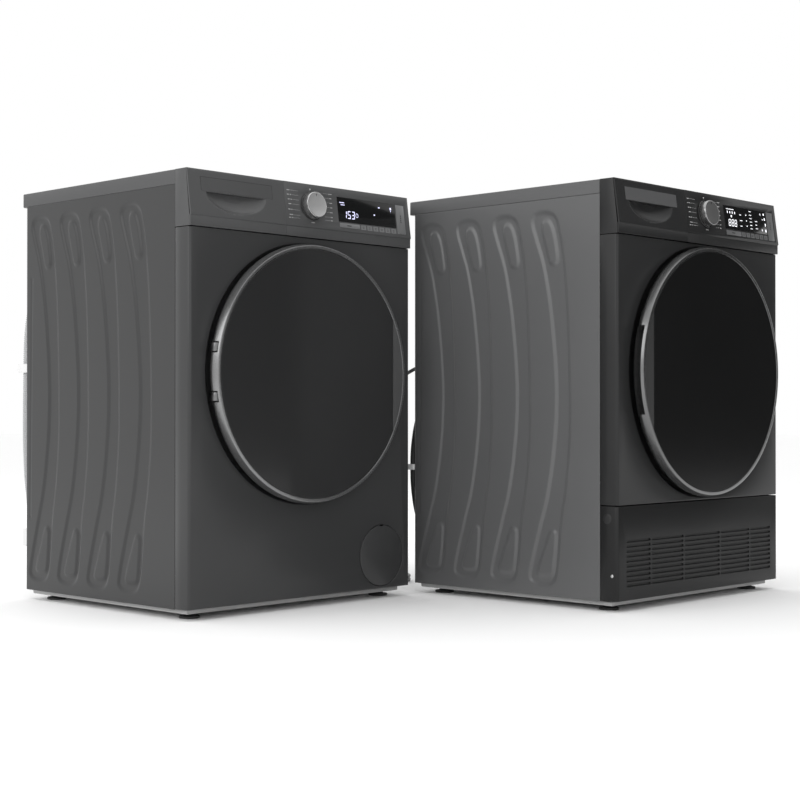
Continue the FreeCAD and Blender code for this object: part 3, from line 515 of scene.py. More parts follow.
class Build(object):
    """Collects faces of several materials into one piece."""

    def __init__(self):
        self.v, self.f, self.m = [], [], []

    def add(self, verts, faces, mat=0):
        b = len(self.v)
        self.v += [tuple(p) for p in verts]
        self.f += [tuple(i + b for i in f) for f in faces]
        self.m += [mat] * len(faces)

    def grid(self, rows, mat=0, closed=False):
        n = len(rows[0])
        faces = []
        for i in range(len(rows) - 1):
            for j in range(n if closed else n - 1):
                k = (j + 1) % n
                faces.append((i * n + j, i * n + k, (i + 1) * n + k, (i + 1) * n + j))
        self.add([p for r in rows for p in r], faces, mat)

    def box(self, c0, c1, mat=0):
        (x0, y0, z0), (x1, y1, z1) = c0, c1
        v = [(x0, y0, z0), (x1, y0, z0), (x1, y1, z0), (x0, y1, z0), (x0, y0, z1), (x1, y0, z1), (x1, y1, z1),
             (x0, y1, z1)]
        self.add(v, [(0, 3, 2, 1), (4, 5, 6, 7), (0, 1, 5, 4), (1, 2, 6, 5), (2, 3, 7, 6), (3, 0, 4, 7)], mat)

    def prism(self, poly, f0, f1, mat=0, cap0=True, cap1=True):
        """poly of 2-D points placed by the two functions, joined and capped."""
        n = len(poly)
        v = [f0(*p) for p in poly] + [f1(*p) for p in poly]
        fs = [(i, (i + 1) % n, n + (i + 1) % n, n + i) for i in range(n)]
        if cap0:
            fs.append(tuple(range(n))[::-1])
        if cap1:
            fs.append(tuple(range(n, 2 * n)))
        self.add(v, fs, mat)

    def done(self, name, mats, weld=0.0, sharp=32.0):
        me = bpy.data.meshes.new(name)
        me.from_pydata(self.v, [], self.f)
        for m in mats:
            me.materials.append(MATS[m])
        me.polygons.foreach_set("material_index", np.array(self.m, np.int32))
        if weld:
            bm = bmesh.new()
            bm.from_mesh(me)
            bmesh.ops.remove_doubles(bm, verts=bm.verts, dist=weld)
            bm.to_mesh(me)
            bm.free()
        finish_normals(me, sharp)
        return link(bpy.data.objects.new(name, me))


# ---------------------------------------------------------------- side channels
CHANNEL = [(15, 778), (11, 765), (0, 720), (-9, 646), (-15, 553), (-18.5, 430), (-18.5, 336),
           (-8, 234), (4, 178), (11, 95), (17, 58), (27, 44), (45, 39), (70, 41), (85, 48),
           (90, 60), (57, 172), (40, 225), (24, 320), (17.5, 411), (21, 490), (32, 590),
           (41, 640), (52, 690), (67, 730), (83, 775), (75, 788), (60, 793), (40, 793), (25, 788)]
ISLAND_TOP = [(57, 773), (30, 773), (14.5, 697), (18, 689), (25, 686), (32, 689), (34.5, 697)]
ISLAND_LOW = [(27.5, 151), (34, 147), (65.5, 66), (60, 61), (32, 61), (26, 68), (19.5, 141), (21, 148)]


def chaikin(p, n=2):
    for _ in range(n):
        q = []
        for i in range(len(p)):
            a, b = p[i], p[(i + 1) % len(p)]
            q.append((a[0] * 0.75 + b[0] * 0.25, a[1] * 0.75 + b[1] * 0.25))
            q.append((a[0] * 0.25 + b[0] * 0.75, a[1] * 0.25 + b[1] * 0.75))
        p = q
    return p


def poly_dist(poly, Y, Z):
    """Distance to a polygon's edge, positive inside."""
    P = np.array(poly)
    Q = np.roll(P, -1, axis=0)
    best = np.full(Y.shape, 1e9)
    ins = np.zeros(Y.shape, bool)
    for (ay, az), (by, bz) in zip(P, Q):
        dy, dz = by - ay, bz - az
        L = dy * dy + dz * dz
        t = np.clip(((Y - ay) * dy + (Z - az) * dz) / L, 0, 1)
        best = np.minimum(best, np.hypot(Y - ay - t * dy, Z - az - t * dz))
        if az != bz:
            c = ((az > Z) != (bz > Z)) & (Y < (by - ay) * (Z - az) / (bz - az) + ay)
            ins ^= c
    return np.where(ins, best, -best)


def smooth01(t):
    t = np.clip(t, 0, 1)
    return t * t * (3 - 2 * t)


def press_depth(Y, Z):
    out = np.zeros(Y.shape)
    c0, c1, c2 = chaikin(CHANNEL), chaikin(ISLAND_TOP), chaikin(ISLAND_LOW)
    for i in range(4):
        off = 132.5 + 101.7 * i
        d = poly_dist(c0, Y - off, Z)
        d = np.minimum(d, -poly_dist(c1, Y - off, Z))
        d = np.minimum(d, -poly_dist(c2, Y - off, Z))
        out = np.maximum(out, 2.6 * smooth01((d + 1.0) / 6.0))
    # slim upright bead near the rear edge, with a dimple at each end
    t = np.clip((Z - 172) / (663 - 172), 0, 1)
    yb = 523 + (517 - 523) * t
    d = np.hypot(Y - yb, np.where(Z > 663, Z - 663, np.where(Z < 172, 172 - Z, 0)))
    out = np.maximum(out, 0.9 * (1 - smooth01(d / 3.0)))
    for zz, yy in ((663, 517), (172, 523)):
        out = np.maximum(out, 1.6 * (1 - smooth01(np.hypot(Y - yy, Z - zz) / 5.0)))
    return out


SIDE_Y = np.concatenate([[42.4, 43.2], np.arange(46, 534.5, 2.6), [534.5]])
SIDE_Z = np.concatenate([[20.0, 20.8], np.arange(24, 812, 3.6), [815.9, 816.7]])
YY, ZZ = np.meshgrid(SIDE_Y, SIDE_Z, indexing="ij")
DEPTH = press_depth(YY, ZZ)


def shell(p, mat):
    """Sheet metal wrapper with its pressed side channels."""
    cols = []          # each column: list of (x, y, z)
    nz = len(SIDE_Z)
    for i, y in enumerate(SIDE_Y):
        cols.append([(-H + DEPTH[i, k], y, SIDE_Z[k]) for k in range(nz)])
    for a in (22.5, 45, 67.5):
        r = math.radians(a)
        cols.append([(-H + 3.5 - 3.5 * math.cos(r), D - 3.5 + 3.5 * math.sin(r), z) for z in SIDE_Z])
    for x in [-H + 3.5] + list(np.linspace(-270, 270, 9)) + [H - 3.5]:
        cols.append([(x, D, z) for z in SIDE_Z])
    for a in (67.5, 45, 22.5):
        r = math.radians(a)
        cols.append([(H - 3.5 + 3.5 * math.cos(r), D - 3.5 + 3.5 * math.sin(r), z) for z in SIDE_Z])
    for i in range(len(SIDE_Y) - 1, -1, -1):
        cols.append([(H - DEPTH[i, k], SIDE_Y[i], SIDE_Z[k]) for k in range(nz)])
    rings = [[G(p, *q) for q in c] for c in cols]
    ob = loft(p + "_shell", rings, closed_ring=False, mats=(mat,), sharp=60)
    md = ob.modifiers.new("sheet", "SOLIDIFY")
    md.thickness = 0.0009
    md.offset = -1.0
    settle(ob)
    # the sheet must thicken inwards: check one vertex and flip if not
    xs = np.empty(len(ob.data.vertices) * 3)
    ob.data.vertices.foreach_get("co", xs)
    lo = xs.reshape(-1, 3)[:, 0].min()
    if lo < ORG[p].x - H * MM - 0.0002:
        bpy.data.objects.remove(ob)
        ob = loft(p + "_shell", rings[::-1], closed_ring=False, mats=(mat,), sharp=60)
        md = ob.modifiers.new("sheet", "SOLIDIFY")
        md.thickness = 0.0009
        md.offset = 1.0
        settle(ob)
    return put(ob, "cabinets", "side_grey", p + "_cabinet")


shell("washer", "side_w")
shell("dryer", "side_d")

# ---------------------------------------------------------------- front panels


def circ(cx, cz, r, n):
    return [(cx + r * math.cos(2 * math.pi * i / n), cz + r * math.sin(2 * math.pi * i / n)) for i in range(n)]


def front_panel(p, mat, low, lip, flap):
    b = Build()
    R, M = 260.0, 160.0
    dz = DOOR_Z[p]
    n = 256
    rc = 6.0
    z0, z1 = low, 735.6
    e = 0.9                      # small rounding of the upper and lower edges
    outer = [(-H + rc, z0 + e), (H - rc, z0 + e), (H - rc, z1 - e), (-H + rc, z1 - e)]
    dish = circ(0, dz, R + 0.6, n)
    holes = [dish]
    if flap:
        holes.append(circ(213.5, 90.6, 65.0, 96))
    v, f = plate2d(outer, holes)
    b.add([G(p, x, 0, z) for x, z in v], f)
    # dish, from its rounded edge to the loading mouth
    prof = [(R + 0.6, 0.0), (R - 0.6, 0.35), (R - 1.9, 1.4), (R - 5.0, 5.6), (R - 8.5, 10.0), (R - 13.5, 15.4),
            (R - 19.5, 18.8), (R - 27.5, 20.0), (M + 11, 20.0), (M + 5, 21.2), (M + 1.5, 24.5), (M, 28.0),
            (M, lip - 1), (M + 0.8, lip), (M + 2.0, lip - 0.6), (M + 4, 25.2), (M + 10, 22), (R - 27.5, 22.0),
            (R - 18, 21.0), (R - 6.8, 11.6), (R + 2.0, 2.0)]
    rings = [[G(p, r * math.cos(2 * math.pi * i / n), y, dz + r * math.sin(2 * math.pi * i / n)) for i in range(n)]
             for r, y in prof]
    b.grid(rings, closed=True)
    if flap:
        fp = [(65.0, 0.0), (64.3, 0.3), (64.0, 1.0), (64.0, 9.0), (60.0, 14.0), (44, 15.5)]
        b.grid([[G(p, 213.5 + r * math.cos(2 * math.pi * i / 96), y, 90.6 + r * math.sin(2 * math.pi * i / 96))
                 for i in range(96)] for r, y in fp], closed=True)
    # side returns with a rounded upright corner, and the turned-in edges
    for sx in (-1, 1):
        plan = [(H - rc, 0.0)] + [(H - rc + rc * math.sin(math.radians(a)), rc - rc * math.cos(math.radians(a)))
                                  for a in (15, 30, 45, 60, 75, 90)] + [(H, 24.0), (H, 41.2), (H - 0.8, 42.0),
                                                                       (H - 2, 42.0), (H - 2, 8.0), (H - 8, 2.0)]
        rows = []
        for x, y in plan:
            rows.append([G(p, sx * x, y, z) for z in (z0 + e, z1 - e)])
        b.grid(rows)
        for zz, s in ((z1, 1), (z0, -1)):
            rr = []
            for x, y in plan[:9]:
                k = 1.0 if y > 0.5 else 1.0
                dx, dy = (e if x > H - rc + 0.5 else 0.0), (e if y < 5 else 0.0)
                rr.append([G(p, sx * x, y, zz - s * e), G(p, sx * (x - dx * 0.3), y + dy * 0.3, zz - s * e * 0.3),
                           G(p, sx * (x - dx), y + dy, zz), G(p, sx * (x - 3), max(y, 3.0), zz)])
            b.grid(rr)
    for zz, s in ((z1, 1), (z0, -1)):
        b.grid([[G(p, x, 0, zz - s * e) for x in (-H + rc, H - rc)], [G(p, x, e * 0.3, zz - s * e * 0.3) for x in (-H + rc, H - rc)],
                [G(p, x, e, zz) for x in (-H + rc, H - rc)], [G(p, x, 3.0, zz) for x in (-H + rc, H - rc)],
                [G(p, x, 3.0, zz - s * 2.5) for x in (-H + rc, H - rc)]])
    ob = b.done(p + "_front", (mat,), weld=2e-6, sharp=50)
    return put(ob, "cabinets", src_slot(p + "_front_panel"), p + "_front_panel")


front_panel("washer", "front_w", 22.0, 34.0, True)
front_panel("dryer", "front_d", 208.0, 58.0, False)

# round plug and screw in the dryer's left side return
for nm, yy, zz, r in (("dryer_side_plug", 24.6, 181.6, 10.0), ("dryer_side_screw", 13.5, 71.0, 3.2)):
    ob = lathe(nm, [(r, 0.0), (r, 0.9), (r - 0.8, 1.4), (r * 0.35, 1.5), (0.0, 1.5), (0.0, 0.0)],
               G("dryer", -H + 0.9, yy, zz), axis=(-1, 0, 0), segs=48, mats=("front_d" if r > 5 else "zinc",), pole=True)
    put(ob, "cabinets", "front_dark")


# ---------------------------------------------------------------- doors


def door(p, h, ring_mat, disc_mat):
    body = p + "_door"
    dz = DOOR_Z[p]
    c = G(p, 0, 0, dz)
    # ring, cut like the CAD ring: finger slot on the handle side, two hinge pockets
    prof = [(246.6, -25.3), (246.6, -28.9), (247.3, -30.0), (252.3, -30.0), (253.4, -29.5), (254.3, -27.2),
            (256.6, -17.5), (257.0, -15.5), (256.4, -12.5), (254.2, -8.0), (247, -1.8), (239.6, 4.4), (238.0, 5.0),
            (188.5, 5.0), (188.0, 4.5), (188.0, 1.6), (188.6, 1.0), (233.6, 1.0), (240.6, -8.0), (240.6, -25.3)]
    ring = lathe(p + "_ring", [(r, -y) for r, y in prof], c, segs=320, mats=(ring_mat,), sharp=24)

    def cutter(name, verts, faces):
        return mesh_obj(name, verts, faces, sharp=10)
    cuts = []
    a0 = 20.0
    rings = []
    for i in range(33):
        t = math.radians(-a0 + 2 * a0 * i / 32) + (0 if h > 0 else math.pi)
        rings.append([G(p, r * math.cos(t), y, dz + r * math.sin(t)) for r, y in
                      ((231.0, -23.4), (231.6, -24.0), (275.0, -24.0), (275.0, -9.0), (231.6, -9.0), (231.0, -9.6))])
    cuts.append(loft(p + "_cut_slot", rings, caps=True, sharp=10))
    for z0 in (36.0, -57.0):
        b = Build()
        x0, x1 = sorted((-275.0 * h, -222.0 * h))
        b.box(G(p, x0, -26.5, dz + z0), G(p, x1, 12.0, dz + z0 + 21))
        cuts.append(b.done(p + "_cut_%d" % (z0 > 0), ("black_print_and_gap_shade",), sharp=10))
    # solid behind the straight edge, which the slot is cut into
    b = Build()
    n = 40
    arc = []
    for i in range(n + 1):
        t = math.radians(-23.5 + 47.0 * i / n)
        arc.append((math.cos(t), math.sin(t)))
    outl = [(243.4 * u, 243.4 * v) for u, v in arc] + [(225.0 * u, 225.0 * v) for u, v in arc[::-1]]
    b.prism(outl, lambda x, z: G(p, x * h, -25.2, dz + z), lambda x, z: G(p, x * h, 0.9, dz + z))
    back = b.done(p + "_back", (ring_mat,), weld=1e-6, sharp=40)
    md = ring.modifiers.new("u", "BOOLEAN")
    md.operation = "UNION"
    md.solver = "EXACT"
    md.object = back
    for i, q in enumerate(cuts):
        md = ring.modifiers.new("c%d" % i, "BOOLEAN")
        md.operation = "DIFFERENCE"
        md.solver = "EXACT"
        md.object = q
    settle(ring)
    for q in cuts + [back]:
        bpy.data.objects.remove(q)
    finish_normals(ring.data, 26.0)
    put(ring, body, src_slot(p + "_door_ring"), p + "_door_ring")

    # straight grip plate beside the cover disc
    z1 = 115.0
    outl = [(217.9, z1)]
    for i in range(25):
        t = math.radians(27.7 - 55.4 * i / 24)
        outl.append((246.4 * math.cos(t), 246.4 * math.sin(t)))
    outl.append((217.9, -z1))
    outl = [(x * h, z) for x, z in outl]
    b = Build()
    b.prism(outl, lambda x, z: G(p, x, -29.7, dz + z), lambda x, z: G(p, x, -25.4, dz + z))
    ob = b.done(p + "_grip_plate", (ring_mat + "_plate",), weld=1e-6, sharp=40)
    bevel(ob, 0.5, 2, 50)
    settle(ob)
    put(ob, body, src_slot(p + "_door_ring"))

    # cover disc
    tt = math.acos(217.3 / 245.9)
    outl = []
    for i in range(181):
        t = tt + (2 * math.pi - 2 * tt) * i / 180
        outl.append((245.9 * math.cos(t) * h, 245.9 * math.sin(t)))
    b = Build()
    b.prism(outl, lambda x, z: G(p, x, -29.8, dz + z), lambda x, z: G(p, x, -25.6, dz + z))
    ob = b.done(p + "_cover", (disc_mat,), weld=1e-6, sharp=40)
    bevel(ob, 0.8, 3, 50)
    settle(ob)
    put(ob, body, src_slot(p + "_door_cover_glass"), p + "_door_cover_glass")

    if p == "washer":
        pr = [(200.0, 5.3), (200.0, 9.0), (160.0, 9.0), (156.5, 10.2), (153.5, 13.5), (151.0, 20.0), (141.5, 82.0),
              (139.0, 90.0), (134.0, 97.0), (124.0, 103.0), (100.0, 107.5), (70.0, 110.0), (30.0, 110.9), (0.0, 111.0),
              (0.0, 107.0), (30.0, 106.9), (70.0, 106.0), (98.0, 103.6), (121.5, 99.5), (130.5, 94.0), (135.0, 88.0),
              (137.6, 81.0), (147.0, 19.0), (150.0, 11.0), (155.0, 5.3)]
        ob = lathe(p + "_bowl", [(r, -y) for r, y in pr], c, segs=160, mats=("bowl_glass",), sharp=50, pole=True)
        put(ob, body, src_slot("washer_door_bowl"), "washer_door_bowl")
    else:
        pr = [(200.0, 5.3), (200.0, 8.2), (199.0, 9.0), (158.0, 9.0), (154.0, 10.5), (151.0, 14.0), (149.0, 20.0),
              (146.2, 39.0), (144.0, 43.5), (140.0, 45.6), (136.0, 46.0), (96.0, 46.0), (94.0, 44.6), (92.0, 44.6),
              (90.0, 46.0), (46.0, 46.0), (44.0, 44.6), (42.0, 44.6), (40.0, 46.0), (0.0, 46.0),
              (0.0, 43.0), (136.0, 43.0), (143.0, 38.5), (147.0, 14.0), (153.0, 5.3)]
        ob = lathe(p + "_inner", [(r, -y) for r, y in pr], c, segs=160, mats=("inner_grey",), sharp=28, pole=True)
        put(ob, body, src_slot("dryer_door_inner"), "dryer_door_inner")


paint("ring_w_plate", g3(0.17, 0.005), rough=0.32, metallic=0.7, grain=2600, bump=0.05, vary=0.04, coat=0.3, coat_rough=0.15)
paint("ring_d_plate", g3(0.060, 0.005), rough=0.34, metallic=0.5, grain=2600, bump=0.05, vary=0.04, coat=0.2, coat_rough=0.2)
door("washer", 1.0, "ring_w", "disc_w")
door("dryer", -1.0, "ring_d", "disc_d")

# ---------------------------------------------------------------- fascias
for p, m, t in (("washer", "fascia_w", "top_w"), ("dryer", "fascia_d", "top_d")):
    refine(p + "_control_fascia", m, 0.5, 2, 40)
    refine(p + "_top_cover", t, 1.6, 3, 40)
    refine(p + "_power_key", "key_w" if p == "washer" else "key_d", 0.4, 2, 40)
    refine(p + "_start_key", "key_w" if p == "washer" else "key_d", 0.4, 2, 40)
    refine(p + "_display_window", "display", 0.25, 2, 40)
    refine(p + "_door_hinge", "ring_w_plate" if p == "washer" else "ring_d_plate", 0.5, 2, 40)


def on(p, x, s, n):
    y, z = slope(s, n)
    return G(p, x, y, z)


def drawer_front(p, mat):
    """Slanted front with the finger scoop pressed into it."""
    xs = np.unique(np.concatenate([[-297.5, -296.7, -296.0], np.arange(-294, -62, 2.0), [-59.4, -58.6, -57.8]]))
    cx, a, b_, top = -182.75, 74.0, 37.0, 45.5

    def depth(x, s):
        if s > top:
            return 0.0
        r = math.hypot((x - cx) / a, (top - s) / b_)
        if r >= 1:
            return 0.0
        k = (1 - r * r)
        return 12.0 * min(1.0, k ** 0.62 * 1.12)
    up = list(np.arange(88.0, 46.6, -4.2)) + [46.4, 45.9]
    dn = [45.5, 45.2, 44.8] + list(np.arange(43.5, 6.0, -1.5)) + [4.5, 3.0, 1.8, 0.9]
    rows = []
    # top edge, then down the slope
    rows.append([G(p, x, 8.2, 845.0) for x in xs])
    rows.append([G(p, x, 7.2, 844.8) for x in xs])
    for s in up:
        rows.append([on(p, x, s - 0.6 if s > 87.9 else s, 0) for x in xs])
    rows.append([on(p, x, 45.6, 0) for x in xs])
    inside = [[], []]
    for i, s in enumerate(dn):
        row = []
        for x in xs:
            y, z = slope(s, 0)
            row.append(G(p, x, y + depth(x, s), z))
        rows.append(row)
    for y, z in ((-5.0, 757.8), (-4.8, 757.0), (-3.6, 756.2), (-3.0, 755.2), (-3.0, 737.4), (-2.4, 736.8), (0.0, 736.8)):
        rows.append([G(p, x, y, z) for x in xs])
    # back skin
    rows.append([G(p, x, 0.0, 756.6) for x in xs])
    for s in dn[::-1]:
        rows.append([G(p, x, slope(s, 0)[0] + 3.0 + depth(x, s) * 0.98, slope(s, 0)[1]) for x in xs])
    for x_s in (48.0,):
        rows.append([G(p, x, slope(x_s, 0)[0] + 3.0 + depth(x, 45.0) * 0.98, slope(x_s, 0)[1]) for x in xs])
        rows.append([G(p, x, slope(x_s + 0.6, 0)[0] + 3.0, slope(x_s + 0.6, 0)[1]) for x in xs])
    rows.append([G(p, x, 10.0, 845.0) for x in xs])
    b = Build()
    n = len(xs)
    b.grid(rows + [rows[0]])
    for j in (0, n - 1):
        col = [r[j] for r in rows]
        b.add(col, [tuple(range(len(col)))])
    node = p + ("_drawer_front" if p == "washer" else "_tank_front")
    ob = b.done(p + "_pull", (mat,), weld=1e-6, sharp=34)
    put(ob, BODY_OF[node], src_slot(node), node)
    body = BODY_OF[node]

    # nameplate, blank
    x0, x1, s0, s1 = -267.5, -90.5, 46.8, 73.0
    if p == "dryer":
        b = Build()
        q = round_poly([(x0, s0), (x1, s0), (x1, s1), (x0, s1)], 1.0)
        b.prism(q, lambda x, s: on(p, x, s, 0.75), lambda x, s: on(p, x, s, -0.1))
        ob = b.done(p + "_nameplate", ("plate_d",), sharp=40)
        bevel(ob, 0.25, 2, 50)
        settle(ob)
        put(ob, body, src_slot(node))
    else:
        b = Build()
        q = round_poly([(x0, s0), (x1, s0), (x1, s1), (x0, s1)], 1.0)
        b.prism(q, lambda x, s: on(p, x, s, 0.35), lambda x, s: on(p, x, s, -0.1))
        ob = b.done(p + "_nameplate", ("plate_w",), sharp=40)
        bevel(ob, 0.3, 2, 50)
        settle(ob)
        put(ob, body, src_slot(node))
        # painted shade: thin black strips on three sides of the plate for the shade in the groove round it
        b = Build()
        for u0, v0, u1, v1 in ((x0 - 1.0, s1 + 0.2, x1 + 1.0, s1 + 0.9), (x0 - 1.0, s0, x0 - 0.3, s1 + 0.9),
                               (x1 + 0.3, s0, x1 + 1.0, s1 + 0.9)):
            b.prism([(u0, v0), (u1, v0), (u1, v1), (u0, v1)], lambda x, s: on(p, x, s, 0.04),
                    lambda x, s: on(p, x, s, -0.1))
        ob = b.done(p + "_plate_groove_shade", ("black_print_and_gap_shade",), sharp=40)
        put(ob, body, src_slot(node))
    return ob


drawer_front("washer", "fascia_w")
drawer_front("dryer", "fascia_d")


def knob(p):
    ky, kz = slope(42.4, 0)
    c = G(p, 13.5, ky, kz)
    ax = (0, -SZ, SY)
    # skirt and base
    ob = lathe(p + "_knob_skirt", [(4.0, -14.0), (4.0, 0.75), (28.2, 0.75), (28.5, 1.1), (28.5, 2.6), (28.1, 3.2),
                                   (25.6, 3.6), (25.2, 4.6), (0.0, 4.6), (0.0, -14.0)],
               c, axis=ax, segs=96, mats=("knob_base",), pole=True, sharp=30)
    put(ob, p + "_knob", "knob_silver", p + "_program_knob")
    ob = lathe(p + "_knob_body", [(26.2, 4.0), (26.9, 4.5), (27.0, 5.5), (26.5, 16.0), (26.0, 17.2), (25.2, 17.9),
                                  (24.4, 18.0), (24.0, 17.7), (23.0, 17.5), (0.0, 17.3), (0.0, 4.0)],
               c, axis=ax, segs=128, mats=("knob_side_w" if p == "washer" else "knob_side_d",), pole=True, sharp=22)
    # the flat face has its own finish
    fm = MATS["knob_w" if p == "washer" else "knob_d"]
    ob.data.materials.append(fm)
    q = Vector(ax).normalized()
    cc = Vector(c)
    for f in ob.data.polygons:
        w = f.center - cc
        hgt = w.dot(q)
        rad = (w - q * hgt).length
        if f.normal.dot(q) > 0.6 and rad < 0.0236:
            f.material_index = 1
    put(ob, p + "_knob", "knob_silver")
    b = Build()
    b.prism([(12.8, 42.4 + 17.5), (14.2, 42.4 + 17.5), (14.2, 42.4 + 22.5), (12.8, 42.4 + 22.5)],
            lambda x, s: on(p, x, s, 17.62), lambda x, s: on(p, x, s, 17.2))
    ob = b.done(p + "_knob_mark", ("knob_base",))
    put(ob, p + "_knob", "knob_silver")


knob("washer")
knob("dryer")

SEG = {"0": "abcdef", "1": "bc", "2": "abged", "3": "abgcd", "4": "fgbc", "5": "afgcd", "6": "afgedc", "7": "abc",
       "8": "abcdefg", "9": "abcdfg"}


def digits(p, text, x0, s0, w, hh, gap, mat, t=1.5, slant=0.12):
    b = Build()
    for k, ch in enumerate(text):
        ox = x0 + k * (w + gap)

        def P(u, v):
            return (ox + u + slant * v, s0 + v)
        m = hh / 2
        g = 0.35
        quads = {"a": [(g, hh), (w - g, hh), (w - g - t, hh - t), (g + t, hh - t)],
                 "d": [(g, 0), (w - g, 0), (w - g - t, t), (g + t, t)],
                 "g": [(g + t * 0.6, m), (g + t, m + t / 2), (w - g - t, m + t / 2), (w - g - t * 0.6, m), (w - g - t, m - t / 2), (g + t, m - t / 2)],
                 "f": [(0, m + g), (0, hh - g), (t, hh - g - t), (t, m + g + t * 0.5)],
                 "e": [(0, m - g), (0, g), (t, g + t), (t, m - g - t * 0.5)],
                 "b": [(w, m + g), (w, hh - g), (w - t, hh - g - t), (w - t, m + g + t * 0.5)],
                 "c": [(w, m - g), (w, g), (w - t, g + t), (w - t, m - g - t * 0.5)]}
        for sg in SEG[ch]:
            pts = [P(u, v) for u, v in quads[sg]]
            b.prism(pts, lambda x, s: on(p, x, s, 0.50), lambda x, s: on(p, x, s, 0.36))
    ob = b.done(p + "_digits", (mat,))
    put(ob, "cabinets", "display")


def marks(name, p, quads, mat, n0=0.5, n1=0.34, slot_="display"):
    b = Build()
    for x0, s0, x1, s1 in quads:
        b.prism([(x0, s0), (x1, s0), (x1, s1), (x0, s1)], lambda x, s: on(p, x, s, n0), lambda x, s: on(p, x, s, n1))
    ob = b.done(name, (mat,))
    put(ob, "cabinets", slot_)


def words(x, s, k, hgt=1.5, w=1.3, gap=0.55, skip=()):
    """A printed label as a row of small blank blocks."""
    return [(x + i * (w + gap), s, x + i * (w + gap) + w, s + hgt) for i in range(k) if i not in skip]


def decor(p):
    """Printed marks round the knob, on the display and on the pads, with no letters."""
    pm = "print_w" if p == "washer" else "print_d"
    q = []
    lead = []
    rows_s = [70, 61, 51.5, 42, 31, 20.5, 14.5]
    for i, s in enumerate(rows_s):
        k = (4, 6, 6, 4, 6, 5, 6)[i]
        x = -50 + (0, 0, 1, 2, 0, 2, 0)[i]
        q += words(x, s, k, skip=(3,) if k > 5 else ())
        lead.append((x + k * 1.85 + 1.5, s + 0.55, -19 - abs(i - 3) * 0.6, s + 0.85))
    for i, s in enumerate([72, 63, 53.5, 44, 34, 24, 17]):
        k = (5, 4, 4, 3, 4, 3, 3)[i]
        x = 62 + (2, 2, 3, 4, 2, 3, 2)[i]
        q += words(x, s, k)
        lead.append((47 + abs(i - 3) * 0.6, s + 0.55, x - 1.5, s + 0.85))
    q += words(9.5, 9.0, 5)
    q += [(11.6, 77.0, 15.4, 78.8), (12.6, 75.2, 14.4, 76.0)]
    marks(p + "_print", p, q, pm, 0.05, -0.05, src_slot(p + "_control_fascia"))
    marks(p + "_leaders", p, lead, pm, 0.04, -0.05, src_slot(p + "_control_fascia"))
    # six touch pads under the display
    b = Build()
    x = 150.0
    for i in range(6):
        x0 = 149.5 + i * 17.9
        b.prism(round_poly([(x0, 6.4), (x0 + 14.6, 6.4), (x0 + 14.6, 16.2), (x0, 16.2)], 0.8),
                lambda x, s: on(p, x, s, 0.35), lambda x, s: on(p, x, s, -0.1))
    ob = b.done(p + "_pads", ("key_w" if p == "washer" else "key_d",))
    bevel(ob, 0.15, 2, 50)
    settle(ob)
    put(ob, "cabinets", "display")
    q = []
    for i in range(6):
        x0 = 149.5 + i * 17.9
        q += words(x0 + 4.2, 12.0, 3, 1.2, 1.3, 0.6) + words(x0 + 5.0, 9.2, 2, 1.2, 1.6, 0.7)
    marks(p + "_pad_marks", p, q, "black_print_and_gap_shade", 0.42, 0.3)
    b = Build()
    b.prism([(109, 10.4), (121, 10.4), (121, 12.2), (109, 12.2)], lambda x, s: on(p, x, s, 0.96), lambda x, s: on(p, x, s, 0.8))
    put(b.done(p + "_power_mark", ("black_print_and_gap_shade",)), p + "_power", "key_plastic")
    b = Build()
    for s0 in (31.0, 35.4, 39.8, 44.2):
        b.prism([(269.4, s0), (271.6, s0), (271.6, s0 + 3.2), (269.4, s0 + 3.2)], lambda x, s: on(p, x, s, 0.96),
                lambda x, s: on(p, x, s, 0.8))
    put(b.done(p + "_start_mark", ("black_print_and_gap_shade",)), p + "_start", "key_plastic")
    # signs on the glass
    q = []
    if p == "washer":
        q += words(93, 58.0, 6, 1.6, 1.8, 0.5) + words(96, 53.5, 5, 1.4, 1.8, 0.5)
        q += [(190, 40, 194, 42.2), (205, 57, 210, 59), (240, 56, 244, 61), (241, 52, 243, 54)]
        digits(p, "153", 101.0, 26.5, 8.6, 16.0, 3.0, "glow_blue", 1.7)
        marks(p + "_signs", p, q, "glow_blue")
        ringp = []
        b = Build()
        for i in range(24):
            a0, a1 = 2 * math.pi * i / 24, 2 * math.pi * (i + 1) / 24
            qd = [(140 + 3.6 * math.cos(a0), 35 + 4.4 * math.sin(a0)), (140 + 3.6 * math.cos(a1), 35 + 4.4 * math.sin(a1)),
                  (140 + 2.9 * math.cos(a1), 35 + 3.6 * math.sin(a1)), (140 + 2.9 * math.cos(a0), 35 + 3.6 * math.sin(a0))]
            b.prism(qd, lambda x, s: on(p, x, s, 0.5), lambda x, s: on(p, x, s, 0.34))
        put(b.done(p + "_clock_ring", ("glow_blue",)), "cabinets", "display")
    else:
        digits(p, "888", 100.5, 26.0, 8.4, 15.0, 3.2, "glow_white", 1.3)
        q += words(96, 62.0, 9, 1.5, 2.2, 1.2)
        q += [(99 + i * 9.5, 53.5, 101.5 + i * 9.5, 58.5) for i in range(4)]
        q += [(112, 45.5, 116.5, 50)]
        for i, s in enumerate((53, 40.5, 28.5)):
            q += words(147, s, 3 + i % 2, 1.5, 1.9, 0.7)
        for i, s in enumerate((54, 41.5, 30)):
            q += [(172, s, 175, s + 2.2)]
        for i, s in enumerate((64, 56, 48.5, 41, 33.5, 26)):
            q += words(187, s, 4, 1.4, 1.6, 0.7)
        for i, s in enumerate((44, 36, 28)):
            q += words(209, s, 4 - i % 2, 1.4, 1.6, 0.7)
        q += [(232, 60, 234, 64), (245, 61, 249, 65), (247, 50, 251, 55), (239, 50, 241.4, 52), (249, 37, 252, 43),
              (234, 25, 236, 29.5), (248, 24, 252, 29.5)]
        marks(p + "_signs", p, q, "glow_white")


decor("washer")
decor("dryer")

# ---------------------------------------------------------------- dryer plinth


